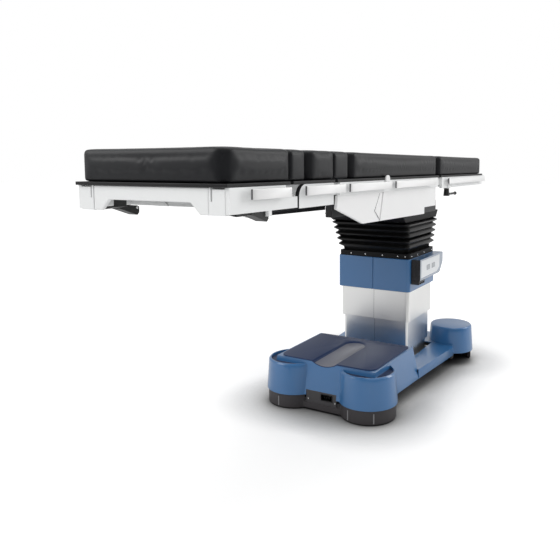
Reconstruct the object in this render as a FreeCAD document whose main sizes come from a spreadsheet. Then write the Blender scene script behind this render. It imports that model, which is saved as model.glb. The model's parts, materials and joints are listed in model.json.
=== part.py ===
import FreeCAD, Part
import math
import os
import Sketcher

# Operating table, in millimetres. +X runs along the top from the end panel to the far section,
# +Y is across it, +Z is up, and the origin is on the floor below the middle of the whole table.

doc = FreeCAD.newDocument("operating_table")
sheet = doc.addObject("Spreadsheet::Sheet", "Sizes")
NODES = {}


# Sizes that remember their number and the sheet expression behind them
class Size:
    def __init__(self, number, text):
        self.number = float(number)
        self.text = text

    def __add__(self, other):
        other = as_size(other)
        return Size(self.number + other.number, f"({self.text} + {other.text})")

    def __radd__(self, other):
        return as_size(other) + self

    def __sub__(self, other):
        other = as_size(other)
        return Size(self.number - other.number, f"({self.text} - {other.text})")

    def __rsub__(self, other):
        return as_size(other) - self

    def __mul__(self, factor):
        return Size(self.number * factor, f"({self.text} * {factor})")

    def __rmul__(self, factor):
        return self * factor

    def __truediv__(self, factor):
        return Size(self.number / factor, f"({self.text} / {factor})")

    def __neg__(self):
        return Size(-self.number, f"(0 - {self.text})")


def as_size(value):
    if isinstance(value, Size):
        return value
    return Size(value, f"{float(value):.4f}")


def size(alias, value):
    row = len(sheet.getUsedCells()) // 2 + 1
    sheet.set(f"A{row}", alias)
    sheet.set(f"B{row}", str(value))
    sheet.setAlias(f"B{row}", alias)
    return Size(value, f"Sizes.{alias}")


# Heights and widths of the top
frame_low = size("frame_low", 827)
frame_height = size("frame_height", 61)
frame_half = size("frame_half", 250)
plate_wall = size("plate_wall", 12)
board_thickness = size("board_thickness", 9)
board_overhang = size("board_overhang", 8)
pad_thickness = size("pad_thickness", 83)
pad_inset = size("pad_inset", 5)
pad_corner = size("pad_corner", 36)
pad_joint_corner = size("pad_joint_corner", 30)
pad_square_corner = size("pad_square_corner", 5)
pad_edge = size("pad_edge", 9)
cross_width = size("cross_width", 40)
cross_drop = size("cross_drop", 3)

# Lengths along the top, each from the end panel
near_end = size("near_end", -1100)
pad_overhang = size("pad_overhang", 4)
outer_pad_length = size("outer_pad_length", 268)
pad_seam = size("pad_seam", 2)
pad_notch = size("pad_notch", 10)
bridge_outer_length = size("bridge_outer_length", 89)
inner_pad_length = size("inner_pad_length", 140)
bridge_inner_length = size("bridge_inner_length", 108)
seat_pad_margin = size("seat_pad_margin", 80)
far_pad_gap = size("far_pad_gap", 25)
far_pad_margin = size("far_pad_margin", 7)
outer_plate_length = size("outer_plate_length", 232)
outer_tail_gap = size("outer_tail_gap", 8)
outer_tail_rise = size("outer_tail_rise", 12)
outer_hinge_run = size("outer_hinge_run", 325)
hinge_rise = size("hinge_rise", 18)
inner_plate_margin = size("inner_plate_margin", 29)
inner_plate_length = size("inner_plate_length", 194)
inner_arm_reach = size("inner_arm_reach", 55)
seat_margin = size("seat_margin", 15)
seat_length = size("seat_length", 910)
seat_frame_height = size("seat_frame_height", 40)
far_arm_reach = size("far_arm_reach", 65)
far_length = size("far_length", 675)
far_lug_length = size("far_lug_length", 43)
far_lug_height = size("far_lug_height", 20)
far_frame_height = size("far_frame_height", 48)
board_gap = size("board_gap", 13)

# Hinges
hinge_pin = size("hinge_pin", 8)
running_gap = size("running_gap", 0.05)
side_gap = size("side_gap", 0.3)
outer_arm_half = size("outer_arm_half", 17)
inner_arm_half = size("inner_arm_half", 17)
far_arm_half = size("far_arm_half", 14)
arm_overlap = size("arm_overlap", 105)
hinge_drop = size("hinge_drop", 20)

# Side rails
rail_height = size("rail_height", 25)
rail_thickness = size("rail_thickness", 10)
rail_stand_off = size("rail_stand_off", 15)
rail_drop = size("rail_drop", 4.5)
rail_bevel = size("rail_bevel", 4)
spacer_radius = size("spacer_radius", 7)
spacer_inset = size("spacer_inset", 45)
outer_rail_start = size("outer_rail_start", 61)
outer_rail_length = size("outer_rail_length", 166)
inner_rail_margin = size("inner_rail_margin", 7)
inner_rail_length = size("inner_rail_length", 222)
seat_rail_margin = size("seat_rail_margin", 31)
seat_rail_length = size("seat_rail_length", 314)
seat_rail_gap = size("seat_rail_gap", 46)
seat_rail_length_two = size("seat_rail_length_two", 424)
far_rail_margin = size("far_rail_margin", 40)
far_rail_length = size("far_rail_length", 600)
tab_lap = size("tab_lap", 12)
tab_width = size("tab_width", 36)
tab_drop = size("tab_drop", 18)
tab_height = size("tab_height", 35)
tab_wall = size("tab_wall", 6)
tab_corner = size("tab_corner", 16)

# End panel and corner brackets
bracket_width = size("bracket_width", 58)
bracket_depth = size("bracket_depth", 30)
bracket_slot = size("bracket_slot", 5)
bracket_slot_depth = size("bracket_slot_depth", 32)
bracket_slot_inset = size("bracket_slot_inset", 48)
bracket_top_gap = size("bracket_top_gap", 4)
end_gap = size("end_gap", 2)
end_wall = size("end_wall", 12)
end_lip = size("end_lip", 3)
notch_half_top = size("notch_half_top", 136)
notch_half_low = size("notch_half_low", 163)
notch_height = size("notch_height", 28)
outer_cross_start = size("outer_cross_start", 100)
outer_cross_width = size("outer_cross_width", 25)
bump_radius = size("bump_radius", 26)
bump_depth = size("bump_depth", 4)
bump_sink = size("bump_sink", 12)
bump_offset = size("bump_offset", 50)

# Release levers below the end frame
lever_start = size("lever_start", 98)
lever_length = size("lever_length", 70)
lever_width = size("lever_width", 34)
lever_thin = size("lever_thin", 6)
lever_thick = size("lever_thick", 27)
lever_ear = size("lever_ear", 7)
lever_pin = size("lever_pin", 4)
lever_inset = size("lever_inset", 44)

# Clamp levers of the far section
clamp_lead = size("clamp_lead", 85)
clamp_hub = size("clamp_hub", 14)
clamp_hub_height = size("clamp_hub_height", 34)
clamp_screw = size("clamp_screw", 5)
clamp_arm = size("clamp_arm", 128)
clamp_arm_radius = size("clamp_arm_radius", 5)
clamp_knob = size("clamp_knob", 8)
clamp_boss = size("clamp_boss", 26)

# Side covers of the seat
cover_half = size("cover_half", 240)
cover_wall = size("cover_wall", 10)
cover_tip_lead = size("cover_tip_lead", 3)
cover_tip_drop = size("cover_tip_drop", 41)
cover_top_lead = size("cover_top_lead", 6)
cover_keel_lead = size("cover_keel_lead", 182)
cover_keel_drop = size("cover_keel_drop", 100)
cover_seam = size("cover_seam", 4)
seam_top_lead = size("seam_top_lead", 346)
seam_foot_lead = size("seam_foot_lead", 316)
seam_foot_drop = size("seam_foot_drop", 102)
seam_knee_lead = size("seam_knee_lead", 270)
seam_knee_drop = size("seam_knee_drop", 63)
insert_width = size("insert_width", 13)
backing_wall = size("backing_wall", 4)
backing_height = size("backing_height", 56)
cover_step_length = size("cover_step_length", 142)
cover_rear_drop = size("cover_rear_drop", 108)
cover_step_drop = size("cover_step_drop", 81)
cover_end_gap = size("cover_end_gap", 2)

# Longitudinal slide
slide_rail_offset = size("slide_rail_offset", 150)
slide_rail_width = size("slide_rail_width", 24)
slide_rail_height = size("slide_rail_height", 78)
slide_rail_lead = size("slide_rail_lead", 110)
slide_clearance = size("slide_clearance", 0.05)
slide_overlap = size("slide_overlap", 15)
carriage_height = size("carriage_height", 50)
carriage_length = size("carriage_length", 290)
carriage_half = size("carriage_half", 200)

# Tilting head on the column
column_offset = size("column_offset", 36)
lug_drop = size("lug_drop", 60)
casing_height = size("casing_height", 35)
head_near = size("head_near", 276)
head_far = size("head_far", 170)
head_half = size("head_half", 182)
head_chamfer = size("head_chamfer", 66)
lug_wall = size("lug_wall", 15)
lug_inner = size("lug_inner", 60)
lug_half = size("lug_half", 36)
lug_round = size("lug_round", 28)
trunnion = size("trunnion", 16)
cross_block = size("cross_block", 88)
cross_block_height = size("cross_block_height", 46)

# Bellows between the head and the collar
bellows_top_half = size("bellows_top_half", 186)
bellows_top_near = size("bellows_top_near", 220)
bellows_top_far = size("bellows_top_far", 174)
bellows_low_half = size("bellows_low_half", 168)
bellows_low_near = size("bellows_low_near", 165)
bellows_low_far = size("bellows_low_far", 166)
BELLOWS_FOLDS = 5
fold_depth = size("fold_depth", 15)
bellows_wall = size("bellows_wall", 2)
bellows_corner = size("bellows_corner", 16)
fold_margin = size("fold_margin", 10)
fold_pitch = size("fold_pitch", 25)
strip_height = size("strip_height", 22)
strip_wall = size("strip_wall", 4)

# Column and collar
collar_height = size("collar_height", 143)
collar_drop = size("collar_drop", 101)
collar_length_half = size("collar_length_half", 162)
collar_half = size("collar_half", 172)
collar_corner = size("collar_corner", 16)
shell_length_half = size("shell_length_half", 148)
shell_half = size("shell_half", 164)
shell_corner = size("shell_corner", 18)
shell_wall = size("shell_wall", 4)
shell_step = size("shell_step", 10)
shell_guide_height = size("shell_guide_height", 40)
guide_gap = size("guide_gap", 0.05)
outer_shell_length = size("outer_shell_length", 277)
middle_shell_length = size("middle_shell_length", 300)
middle_overlap = size("middle_overlap", 168)
inner_overlap = size("inner_overlap", 200)
cap_wall = size("cap_wall", 12)

# Control housing on the collar
housing_lead = size("housing_lead", 144)
housing_length = size("housing_length", 300)
housing_depth = size("housing_depth", 42)
housing_height = size("housing_height", 91)
housing_step = size("housing_step", 44)
housing_corner = size("housing_corner", 26)
panel_border = size("panel_border", 14)
panel_length = size("panel_length", 240)
panel_wall = size("panel_wall", 6)
panel_height = size("panel_height", 74)
panel_corner = size("panel_corner", 18)
key_width = size("key_width", 40)
key_height = size("key_height", 22)
key_pitch = size("key_pitch", 66)
key_depth = size("key_depth", 7)
key_travel = size("key_travel", 1.5)
key_gap = size("key_gap", 0.1)
bracket_drop = size("bracket_drop", 18)
bracket_run = size("bracket_run", 70)
BRACKET_RIBS = 4
rib_width = size("rib_width", 8)

# Base
base_rise = size("base_rise", 89)
skirt_rise = size("skirt_rise", 12)
base_length = size("base_length", 383)
base_front_rake = size("base_front_rake", 20)
base_rear_gap = size("base_rear_gap", 238)
base_front_half = size("base_front_half", 225)
base_front_top_half = size("base_front_top_half", 214)
base_rear_half = size("base_rear_half", 250)
base_rear_top_half = size("base_rear_top_half", 220)
base_wall = size("base_wall", 4)
pod_lead = size("pod_lead", 71)
pod_offset = size("pod_offset", 162)
pod_radius = size("pod_radius", 104)
pod_draft = size("pod_draft", 8)
pod_drop = size("pod_drop", 10)
pod_edge = size("pod_edge", 5)
pod_rim = size("pod_rim", 9)
pod_recess = size("pod_recess", 9)
far_pod_lead = size("far_pod_lead", 248)
far_pod_offset = size("far_pod_offset", 231)
far_pod_radius = size("far_pod_radius", 97)
platform_room = size("platform_room", 14)
platform_half = size("platform_half", 282)
platform_margin = size("platform_margin", 124)
platform_tail = size("platform_tail", 76)
well_gap = size("well_gap", 5)
deck_inset = size("deck_inset", 9)
deck_wall = size("deck_wall", 4)
deck_corner = size("deck_corner", 38)
deck_edge = size("deck_edge", 3)
trough_radius = size("trough_radius", 105)
trough_depth = size("trough_depth", 15)
trough_margin = size("trough_margin", 102)
trough_wall = size("trough_wall", 3)

# Skirt, chassis and casters
skirt_wall = size("skirt_wall", 12)
skirt_margin = size("skirt_margin", 2)
foot_height = size("foot_height", 6)
pan_low = size("pan_low", 28)
pan_wall = size("pan_wall", 6)
pan_half = size("pan_half", 95)
pan_length = size("pan_length", 140)
far_pan_half = size("far_pan_half", 150)
chassis_wall = size("chassis_wall", 12)
chassis_half = size("chassis_half", 150)
skirt_lip = size("skirt_lip", 8)
skirt_lip_half = size("skirt_lip_half", 84)
post_radius = size("post_radius", 8)
post_offset = size("post_offset", 80)
boss_radius = size("boss_radius", 10)
fork_room = size("fork_room", 12)
carrier_height = size("carrier_height", 16)
carrier_offset = size("carrier_offset", 196)
carrier_width = size("carrier_width", 18)
carrier_lead = size("carrier_lead", 135)
carrier_tail = size("carrier_tail", 49)
carrier_bar = size("carrier_bar", 30)
caster_arm = size("caster_arm", 38)
wheel_radius = size("wheel_radius", 25)
wheel_width = size("wheel_width", 14)
wheel_lift = size("wheel_lift", 6)
wheel_slot = size("wheel_slot", 8)
caster_trail = size("caster_trail", 20)
stem_radius = size("stem_radius", 8)
axle_radius = size("axle_radius", 4)
fork_plate = size("fork_plate", 5)

# Mains inlet at the near end
socket_left = size("socket_left", 70)
socket_right = size("socket_right", 62)
socket_low = size("socket_low", 30)
socket_height = size("socket_height", 49)
socket_recess = size("socket_recess", 6)
inlet_centre = size("inlet_centre", -20)
inlet_half = size("inlet_half", 25)
inlet_rise = size("inlet_rise", 17)
inlet_height = size("inlet_height", 26)
inlet_depth = size("inlet_depth", 14)
inlet_wall = size("inlet_wall", 2)

# Places of the top, worked out from the sizes
frame_top = frame_low + frame_height
pad_low = frame_top + board_thickness
pad_top = pad_low + pad_thickness
pad_half = frame_half - pad_inset
plate_inner = frame_half - plate_wall
arm_outer = plate_inner - side_gap
arm_inner = arm_outer - plate_wall
outer_hinge_height = frame_low + hinge_rise
seat_low = frame_top - seat_frame_height
seat_hinge_height = frame_top - hinge_drop
inner_plate_start = outer_hinge_run - inner_plate_margin
inner_plate_end = inner_plate_start + inner_plate_length
outer_tail_end = inner_plate_start - outer_tail_gap
inner_hinge_run = inner_plate_end + inner_arm_reach
seat_start = inner_hinge_run - seat_margin
seat_end = seat_start + seat_length
far_hinge_run = seat_end - seat_margin
far_start = far_hinge_run + far_arm_reach
far_end = far_start + far_length
seat_pad_length = seat_length - seat_pad_margin
far_pad_length = far_length - far_pad_margin
outer_pad_start = -pad_overhang
bridge_outer_start = outer_pad_start + outer_pad_length + pad_seam
inner_pad_start = bridge_outer_start + bridge_outer_length + pad_notch
bridge_inner_start = inner_pad_start + inner_pad_length + pad_seam
seat_pad_start = bridge_inner_start + bridge_inner_length + pad_notch
far_pad_start = seat_pad_start + seat_pad_length + far_pad_gap
rail_inner = frame_half + rail_stand_off
rail_outer = rail_inner + rail_thickness
rail_top = frame_top - rail_drop
rail_low = rail_top - rail_height
inner_rail_start = inner_plate_start + inner_rail_margin
seat_rail_start = seat_start + seat_rail_margin
seat_rail_start_two = seat_rail_start + seat_rail_length + seat_rail_gap
far_rail_start = far_start + far_rail_margin
clamp_run = far_start + clamp_lead

# Places of the head and column, from the top down
slide_rail_low = seat_low - slide_rail_height
slide_rail_start = seat_start + slide_rail_lead
carriage_top = slide_rail_low + slide_overlap
head_mid = carriage_top - carriage_height
head_low = head_mid - casing_height
tilt_height = head_low - lug_drop
collar_top = tilt_height - collar_drop
collar_low = collar_top - collar_height
outer_shell_low = collar_top - outer_shell_length
middle_shell_top = outer_shell_low + middle_overlap
middle_shell_low = middle_shell_top - middle_shell_length
inner_shell_top = middle_shell_low + inner_overlap
housing_low = collar_top - housing_height
bracket_low = housing_low - bracket_drop
column_run = seat_end + column_offset
column_x = near_end + column_run

# Places of the base, from the floor up and from the column out
chassis_low = pan_low + pan_wall
chassis_top = chassis_low + chassis_wall
base_low = chassis_top + skirt_rise
carrier_low = wheel_lift + wheel_radius * 2 + fork_room
carrier_top = carrier_low + carrier_height
platform_top = carrier_top + platform_room
base_top = platform_top + base_rise
pod_top = base_top - pod_drop
deck_top = base_top + deck_wall
base_rear = column_run - base_rear_gap
base_front = base_rear - base_length
pod_run = base_front + pod_lead
far_pod_run = column_run + far_pod_lead
platform_run = far_pod_run - platform_margin
platform_end = far_pod_run + platform_tail
trough_end = base_rear - trough_margin
skirt_radius = pod_radius + skirt_margin
far_skirt_radius = far_pod_radius + skirt_margin
carrier_near = base_front + carrier_lead
carrier_far = far_pod_run - carrier_tail
socket_high = socket_low + socket_height
inlet_low = socket_low + inlet_rise

ROTATION = {
    "X": FreeCAD.Rotation(FreeCAD.Vector(0, 1, 0), 90),
    "Y": FreeCAD.Rotation(FreeCAD.Vector(1, 0, 0), -90),
    "Z": FreeCAD.Rotation(),
}
PLANES = {"Z": "XY_Plane", "Y": "XZ_Plane", "X": "YZ_Plane"}
DIRECTIONS = {"X": FreeCAD.Vector(1, 0, 0), "Y": FreeCAD.Vector(0, 1, 0), "Z": FreeCAD.Vector(0, 0, 1)}
ORIGIN_POINT = -1
VERTICAL_AXIS = -2
TOLERANCE = 0.01


# Helpers that make one object each, with its sizes bound to the sheet
def bind(obj, prop, value):
    obj.setExpression(prop, as_size(value).text)


def place(obj, x, y, z):
    bind(obj, "Placement.Base.x", x)
    bind(obj, "Placement.Base.y", y)
    bind(obj, "Placement.Base.z", z)
    return obj


def block(name, x, y, z):
    obj = doc.addObject("Part::Box", name)
    for prop, span in zip(("Length", "Width", "Height"), (x, y, z)):
        bind(obj, prop, as_size(span[1]) - span[0])
    return place(obj, x[0], y[0], z[0])


def rod(name, axis, x, y, z, radius, length):
    obj = doc.addObject("Part::Cylinder", name)
    obj.Placement = FreeCAD.Placement(FreeCAD.Vector(), ROTATION[axis])
    bind(obj, "Radius", radius)
    bind(obj, "Height", length)
    return place(obj, x, y, z)


def cone(name, x, y, z, low_radius, high_radius, height):
    obj = doc.addObject("Part::Cone", name)
    bind(obj, "Radius1", low_radius)
    bind(obj, "Radius2", high_radius)
    bind(obj, "Height", height)
    return place(obj, x, y, z)


def ball(name, x, y, z, radius):
    obj = doc.addObject("Part::Sphere", name)
    bind(obj, "Radius", radius)
    return place(obj, x, y, z)


def join(name, parts):
    obj = doc.addObject("Part::MultiFuse", name)
    obj.Shapes = parts
    obj.Refine = True
    return obj


def carve(name, base, tools):
    obj = doc.addObject("Part::Cut", name)
    obj.Base = base
    obj.Tool = tools[0] if len(tools) == 1 else join(name + "_tools", tools)
    return obj


def common(name, base, tool):
    obj = doc.addObject("Part::Common", name)
    obj.Base = base
    obj.Tool = tool
    return obj


def group(name, parts):
    obj = doc.addObject("Part::Compound", name)
    obj.Links = parts
    return obj


def node(label, obj):
    obj.Label = label
    NODES[label] = obj
    return obj


def middle(edge):
    return edge.valueAt((edge.FirstParameter + edge.LastParameter) / 2)


def outline(sketch, corners):
    points = [FreeCAD.Vector(as_size(a).number, as_size(b).number, 0) for a, b in corners]
    count = len(points)
    for i in range(count):
        sketch.addGeometry(Part.LineSegment(points[i], points[(i + 1) % count]), False)
    for i in range(count):
        sketch.addConstraint(Sketcher.Constraint("Coincident", i, 2, (i + 1) % count, 1))
    for i, corner in enumerate(corners):
        for kind, axis, value in zip(("DistanceX", "DistanceY"), (VERTICAL_AXIS, ORIGIN_POINT), corner):
            value = as_size(value)
            if abs(value.number) < TOLERANCE:
                sketch.addConstraint(Sketcher.Constraint("PointOnObject", i, 1, axis))
                continue
            index = sketch.addConstraint(Sketcher.Constraint(kind, ORIGIN_POINT, 1, i, 1, value.number))
            bind(sketch, f"Constraints[{index}]", value)


def start_body(name, axis, corners, offset):
    body = doc.addObject("PartDesign::Body", name)
    plane = [p for p in body.Origin.OriginFeatures if p.Role == PLANES[axis]][0]
    sketch = body.newObject("Sketcher::SketchObject", name + "_sketch")
    sketch.AttachmentSupport = (plane, [""])
    sketch.MapMode = "FlatFace"
    bind(sketch, "AttachmentOffset.Base.z", offset)
    outline(sketch, corners)
    return body, sketch


def prism(name, axis, corners, low, high, rounds=()):
    low = as_size(low)
    high = as_size(high)
    body, sketch = start_body(name, axis, corners, -high if axis == "Y" else low)
    pad = body.newObject("PartDesign::Pad", name + "_pad")
    pad.Profile = sketch
    bind(pad, "Length", high - low)
    doc.recompute()
    last = pad
    for number, (radius, chosen) in enumerate(rounds):
        wanted = [tuple(as_size(v).number for v in corners[i]) for i in chosen]
        last = round_body(body, last, f"{name}_round{number}", radius, lambda e: along(e, axis, wanted))
    return body


def along(edge, axis, wanted):
    if edge.Curve.TypeId != "Part::GeomLine":
        return False
    if abs(abs(edge.Curve.Direction.dot(DIRECTIONS[axis])) - 1) > TOLERANCE:
        return False
    spot = middle(edge)
    flat = {"Z": (spot.x, spot.y), "Y": (spot.x, spot.z), "X": (spot.y, spot.z)}[axis]
    return any(math.dist(flat, corner) < TOLERANCE for corner in wanted)


def round_body(body, feature, name, radius, pick):
    picked = [f"Edge{i + 1}" for i, edge in enumerate(feature.Shape.Edges) if pick(edge)]
    if not picked:
        raise RuntimeError(f"{name}: no edge to round")
    fillet = body.newObject("PartDesign::Fillet", name)
    fillet.Base = (feature, picked)
    bind(fillet, "Radius", radius)
    doc.recompute()
    return fillet


def at_height(height):
    return lambda edge: abs(middle(edge).z - height.number) < TOLERANCE and is_flat(edge)


def is_flat(edge):
    heights = [v.Point.z for v in edge.Vertexes]
    return max(heights) - min(heights) < TOLERANCE


def loft(name, sections):
    sketches = []
    for number, (height, corners) in enumerate(sections):
        sketch = doc.addObject("Sketcher::SketchObject", f"{name}_section{number}")
        bind(sketch, "Placement.Base.z", height)
        outline(sketch, corners)
        sketches.append(sketch)
    obj = doc.addObject("Part::Loft", name)
    obj.Sections = sketches
    obj.Solid = True
    obj.Ruled = True
    return obj


def rectangle(x_low, x_high, half):
    return [(x_low, -half), (x_high, -half), (x_high, half), (x_low, half)]


def tube(name, x_half, y_half, corner, wall, low, high):
    outer = prism(name + "_outside", "Z", rectangle(column_x - x_half, column_x + x_half, y_half),
                  low, high, [(corner, (0, 1, 2, 3))])
    inner = prism(name + "_inside", "Z",
                  rectangle(column_x - x_half + wall, column_x + x_half - wall, y_half - wall),
                  low, high, [(corner - wall, (0, 1, 2, 3))])
    return carve(name + "_tube", outer, [inner])


def along_top(run):
    return near_end + run


def spans(sign, low, high):
    return (low, high) if sign > 0 else (-high, -low)


SIDES = (("left", 1), ("right", -1))


# Cushions: rounded closed solids on their boards
def cushion(label, start, length, near_radius, far_radius):
    low = along_top(start)
    high = low + length
    body = prism(label + "_body", "Z", rectangle(low, high, pad_half), pad_low, pad_top,
                 [(near_radius, (0, 3)), (far_radius, (1, 2))])
    round_body(body, body.Tip, label + "_edge", pad_edge, at_height(pad_top))
    return node(label, body)


cushion("outer_pad", outer_pad_start, outer_pad_length, pad_corner, pad_square_corner)
cushion("outer_bridge_pad", bridge_outer_start, bridge_outer_length, pad_square_corner, pad_joint_corner)
cushion("inner_pad", inner_pad_start, inner_pad_length, pad_joint_corner, pad_square_corner)
cushion("inner_bridge_pad", bridge_inner_start, bridge_inner_length, pad_square_corner, pad_joint_corner)
cushion("seat_pad", seat_pad_start, seat_pad_length, pad_joint_corner, pad_corner)
cushion("far_pad", far_pad_start, far_pad_length, pad_joint_corner, pad_square_corner)


# Boards: thin plates below the cushions
def board(label, low, high, arm_cut=None):
    plate = block(label + "_plate", (low, high), (-frame_half, frame_half), (frame_top, pad_low))
    if arm_cut is None:
        return node(label, plate)
    cuts = []
    for side, sign in SIDES:
        across = spans(sign, arm_inner - side_gap * 6, arm_outer + side_gap * 6)
        cuts.append(block(f"{label}_cut_{side}", arm_cut, across, (frame_top, pad_low)))
    return node(label, carve(label + "_notched", plate, cuts))


outer_board_end = bridge_outer_start - pad_seam - board_overhang
board("outer_board", near_end - board_overhang, along_top(outer_board_end))
board("inner_board", along_top(outer_board_end + board_gap),
      along_top(bridge_inner_start - pad_seam - pad_inset))
board("seat_board", along_top(bridge_inner_start + board_overhang),
      along_top(far_pad_start - far_pad_gap - pad_inset),
      (along_top(bridge_inner_start), along_top(inner_hinge_run + inner_arm_half * 3)))
board("far_board", along_top(far_pad_start - pad_seam), along_top(far_end + pad_inset))


# Side rails with their stand-off spacers
def rail(name, sign, start, length):
    low = along_top(start)
    high = low + length
    inner = rail_inner * sign
    outer = rail_outer * sign
    bevel = rail_outer * sign - rail_bevel * sign
    corners = [(low, inner), (high, inner), (high, bevel), (high - rail_bevel, outer),
               (low + rail_bevel * 3, outer), (low, bevel)]
    bar = prism(name + "_bar", "Z", corners, rail_low, rail_top)
    parts = [bar]
    for number, x in enumerate((low + spacer_inset, high - spacer_inset)):
        across = frame_half if sign > 0 else -rail_inner
        parts.append(rod(f"{name}_spacer{number}", "Y", x, across, (rail_low + rail_top) / 2,
                         spacer_radius, rail_stand_off))
    return parts


def rail_set(label, stretches):
    bars = []
    for side, sign in SIDES:
        for number, (start, length) in enumerate(stretches):
            bars += rail(f"{label}_{side}{number}", sign, start, length)
    return bars


node("outer_side_rails", group("outer_rail_group", rail_set("outer_rail",
                                                            [(outer_rail_start, outer_rail_length)])))
node("inner_side_rails", group("inner_rail_group", rail_set("inner_rail",
                                                            [(inner_rail_start, inner_rail_length)])))
node("far_side_rails", group("far_rail_group", rail_set("far_rail", [(far_rail_start, far_rail_length)])))
seat_rails = rail_set("seat_rail", [(seat_rail_start, seat_rail_length),
                                    (seat_rail_start_two, seat_rail_length_two)])
node("seat_side_rails", group("seat_rail_group", seat_rails))


# Index tabs in the gap between the two seat rails
tabs = []
tab_x = along_top(seat_rail_start + seat_rail_length - tab_lap)
tab_low = frame_top - tab_drop
for side, sign in SIDES:
    across = spans(sign, frame_half, frame_half + tab_wall)
    corners = [(tab_x, tab_low), (tab_x + tab_width, tab_low), (tab_x + tab_width, tab_low + tab_height),
               (tab_x, tab_low + tab_height)]
    tabs.append(prism(f"index_tab_{side}", "Y", corners, across[0], across[1], [(tab_corner, (0, 1, 2, 3))]))
node("index_tabs", group("index_tab_group", tabs))


# Hinge arm: a bar with a round eye at the pin, inside the neighbour's side plate
def hinge_arm(name, sign, eye_x, from_x, height, half):
    across = spans(sign, arm_inner, arm_outer)
    low, high = (from_x, eye_x) if from_x.number < eye_x.number else (eye_x, from_x)
    bar = block(name + "_bar", (low, high), across, (height - half, height + half))
    eye = rod(name + "_eye", "Y", eye_x, across[0], height, half, plate_wall)
    hole = rod(name + "_hole", "Y", eye_x, across[0], height, hinge_pin + running_gap, plate_wall)
    return carve(name, join(name + "_solid", [bar, eye]), [hole])


def pin(name, sign, x, height):
    start = arm_inner if sign > 0 else -frame_half
    return rod(name, "Y", x, start, height, hinge_pin, frame_half - arm_inner)


# Outer section: side plates with arms, a cross bar, end panel, corner brackets and levers
outer_hinge_x = along_top(outer_hinge_run)
outer_plate_end = along_top(outer_plate_length)
cross_low = near_end + outer_cross_start
cross_foot = frame_low + end_lip * 2
cross_bar = block("outer_cross", (cross_low, cross_low + outer_cross_width), (-plate_inner, plate_inner),
                  (cross_foot, frame_low + end_lip * 8))
bump_disc = rod("cross_bump_disc", "X", cross_low - bump_depth, bump_offset, cross_foot - bump_sink,
                bump_radius, bump_depth)
bump_room = block("cross_bump_room", (cross_low - bump_depth, cross_low),
                  (bump_offset - bump_radius, bump_offset + bump_radius), (cross_foot,
                                                                           cross_foot + bump_radius))
outer_solids = [join("outer_cross_solid", [cross_bar, common("cross_bump", bump_disc, bump_room)])]
lever_pivot_x = near_end + lever_start + lever_length - lever_ear
for side, sign in SIDES:
    plate = block(f"outer_plate_{side}", (near_end + end_gap, outer_plate_end),
                  spans(sign, plate_inner, frame_half), (frame_low, frame_top))
    tail = block(f"outer_tail_{side}", (outer_plate_end, along_top(outer_tail_end)),
                 spans(sign, plate_inner, frame_half), (frame_low, outer_hinge_height + outer_tail_rise))
    backing = block(f"outer_backing_{side}", (outer_plate_end - arm_overlap, outer_plate_end),
                    spans(sign, arm_inner, plate_inner),
                    (outer_hinge_height - outer_arm_half, outer_hinge_height + outer_arm_half))
    arm = hinge_arm(f"outer_arm_{side}", sign, outer_hinge_x, outer_plate_end - arm_overlap,
                    outer_hinge_height, outer_arm_half)
    ear = block(f"lever_ear_{side}", (lever_pivot_x - lever_ear, lever_pivot_x + lever_ear),
                spans(sign, frame_half - lever_inset + lever_width + side_gap, frame_half),
                (frame_low - lever_ear * 2, frame_low))
    pin_low = frame_half - lever_inset if sign > 0 else -frame_half
    lever_rod = rod(f"lever_pin_{side}", "Y", lever_pivot_x, pin_low, frame_low - lever_ear, lever_pin,
                    lever_inset)
    outer_solids.append(join(f"outer_side_{side}", [plate, tail, backing, arm, ear, lever_rod]))
node("outer_frame", group("outer_frame_group", outer_solids))

panel_half = frame_half - bracket_width - end_gap
panel_low = frame_low - end_lip
panel_corners = [(-panel_half, panel_low), (-notch_half_low, panel_low),
                 (-notch_half_top, panel_low + notch_height),
                 (notch_half_top, panel_low + notch_height), (notch_half_low, panel_low), (panel_half,
                                                                                           panel_low),
                 (panel_half, frame_top), (-panel_half, frame_top)]
end_skin = prism("end_panel_skin", "X", panel_corners, near_end, near_end + end_wall, [(pad_edge, (2, 3))])
end_ties = []
for side, sign in SIDES:
    end_ties.append(block(f"end_tie_{side}", (near_end + end_wall, cross_low),
                          spans(sign, notch_half_low, notch_half_low + end_wall),
                          (frame_low + end_lip * 2, frame_top)))
node("end_panel", group("end_panel_group", [end_skin] + end_ties))

brackets = []
for side, sign in SIDES:
    face = block(f"bracket_face_{side}", (near_end, near_end + end_wall),
                 spans(sign, frame_half - bracket_width, plate_inner - side_gap), (panel_low, frame_top))
    leg = block(f"bracket_leg_{side}", (near_end, near_end + bracket_depth),
                spans(sign, arm_inner, plate_inner), (frame_low, frame_top))
    slot_y = spans(sign, frame_half - bracket_slot_inset - bracket_slot, frame_half - bracket_slot_inset)
    slot = block(f"bracket_slot_{side}", (near_end, near_end + end_wall), slot_y,
                 (frame_top - bracket_slot_depth, frame_top))
    top_gap = block(f"bracket_top_gap_{side}", (near_end, near_end + end_wall),
                    spans(sign, frame_half - bracket_slot_inset, plate_inner),
                    (frame_top - bracket_top_gap, frame_top))
    brackets.append(carve(f"bracket_{side}", join(f"bracket_solid_{side}", [face, leg]), [slot, top_gap]))
node("corner_brackets", group("bracket_group", brackets))

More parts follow.
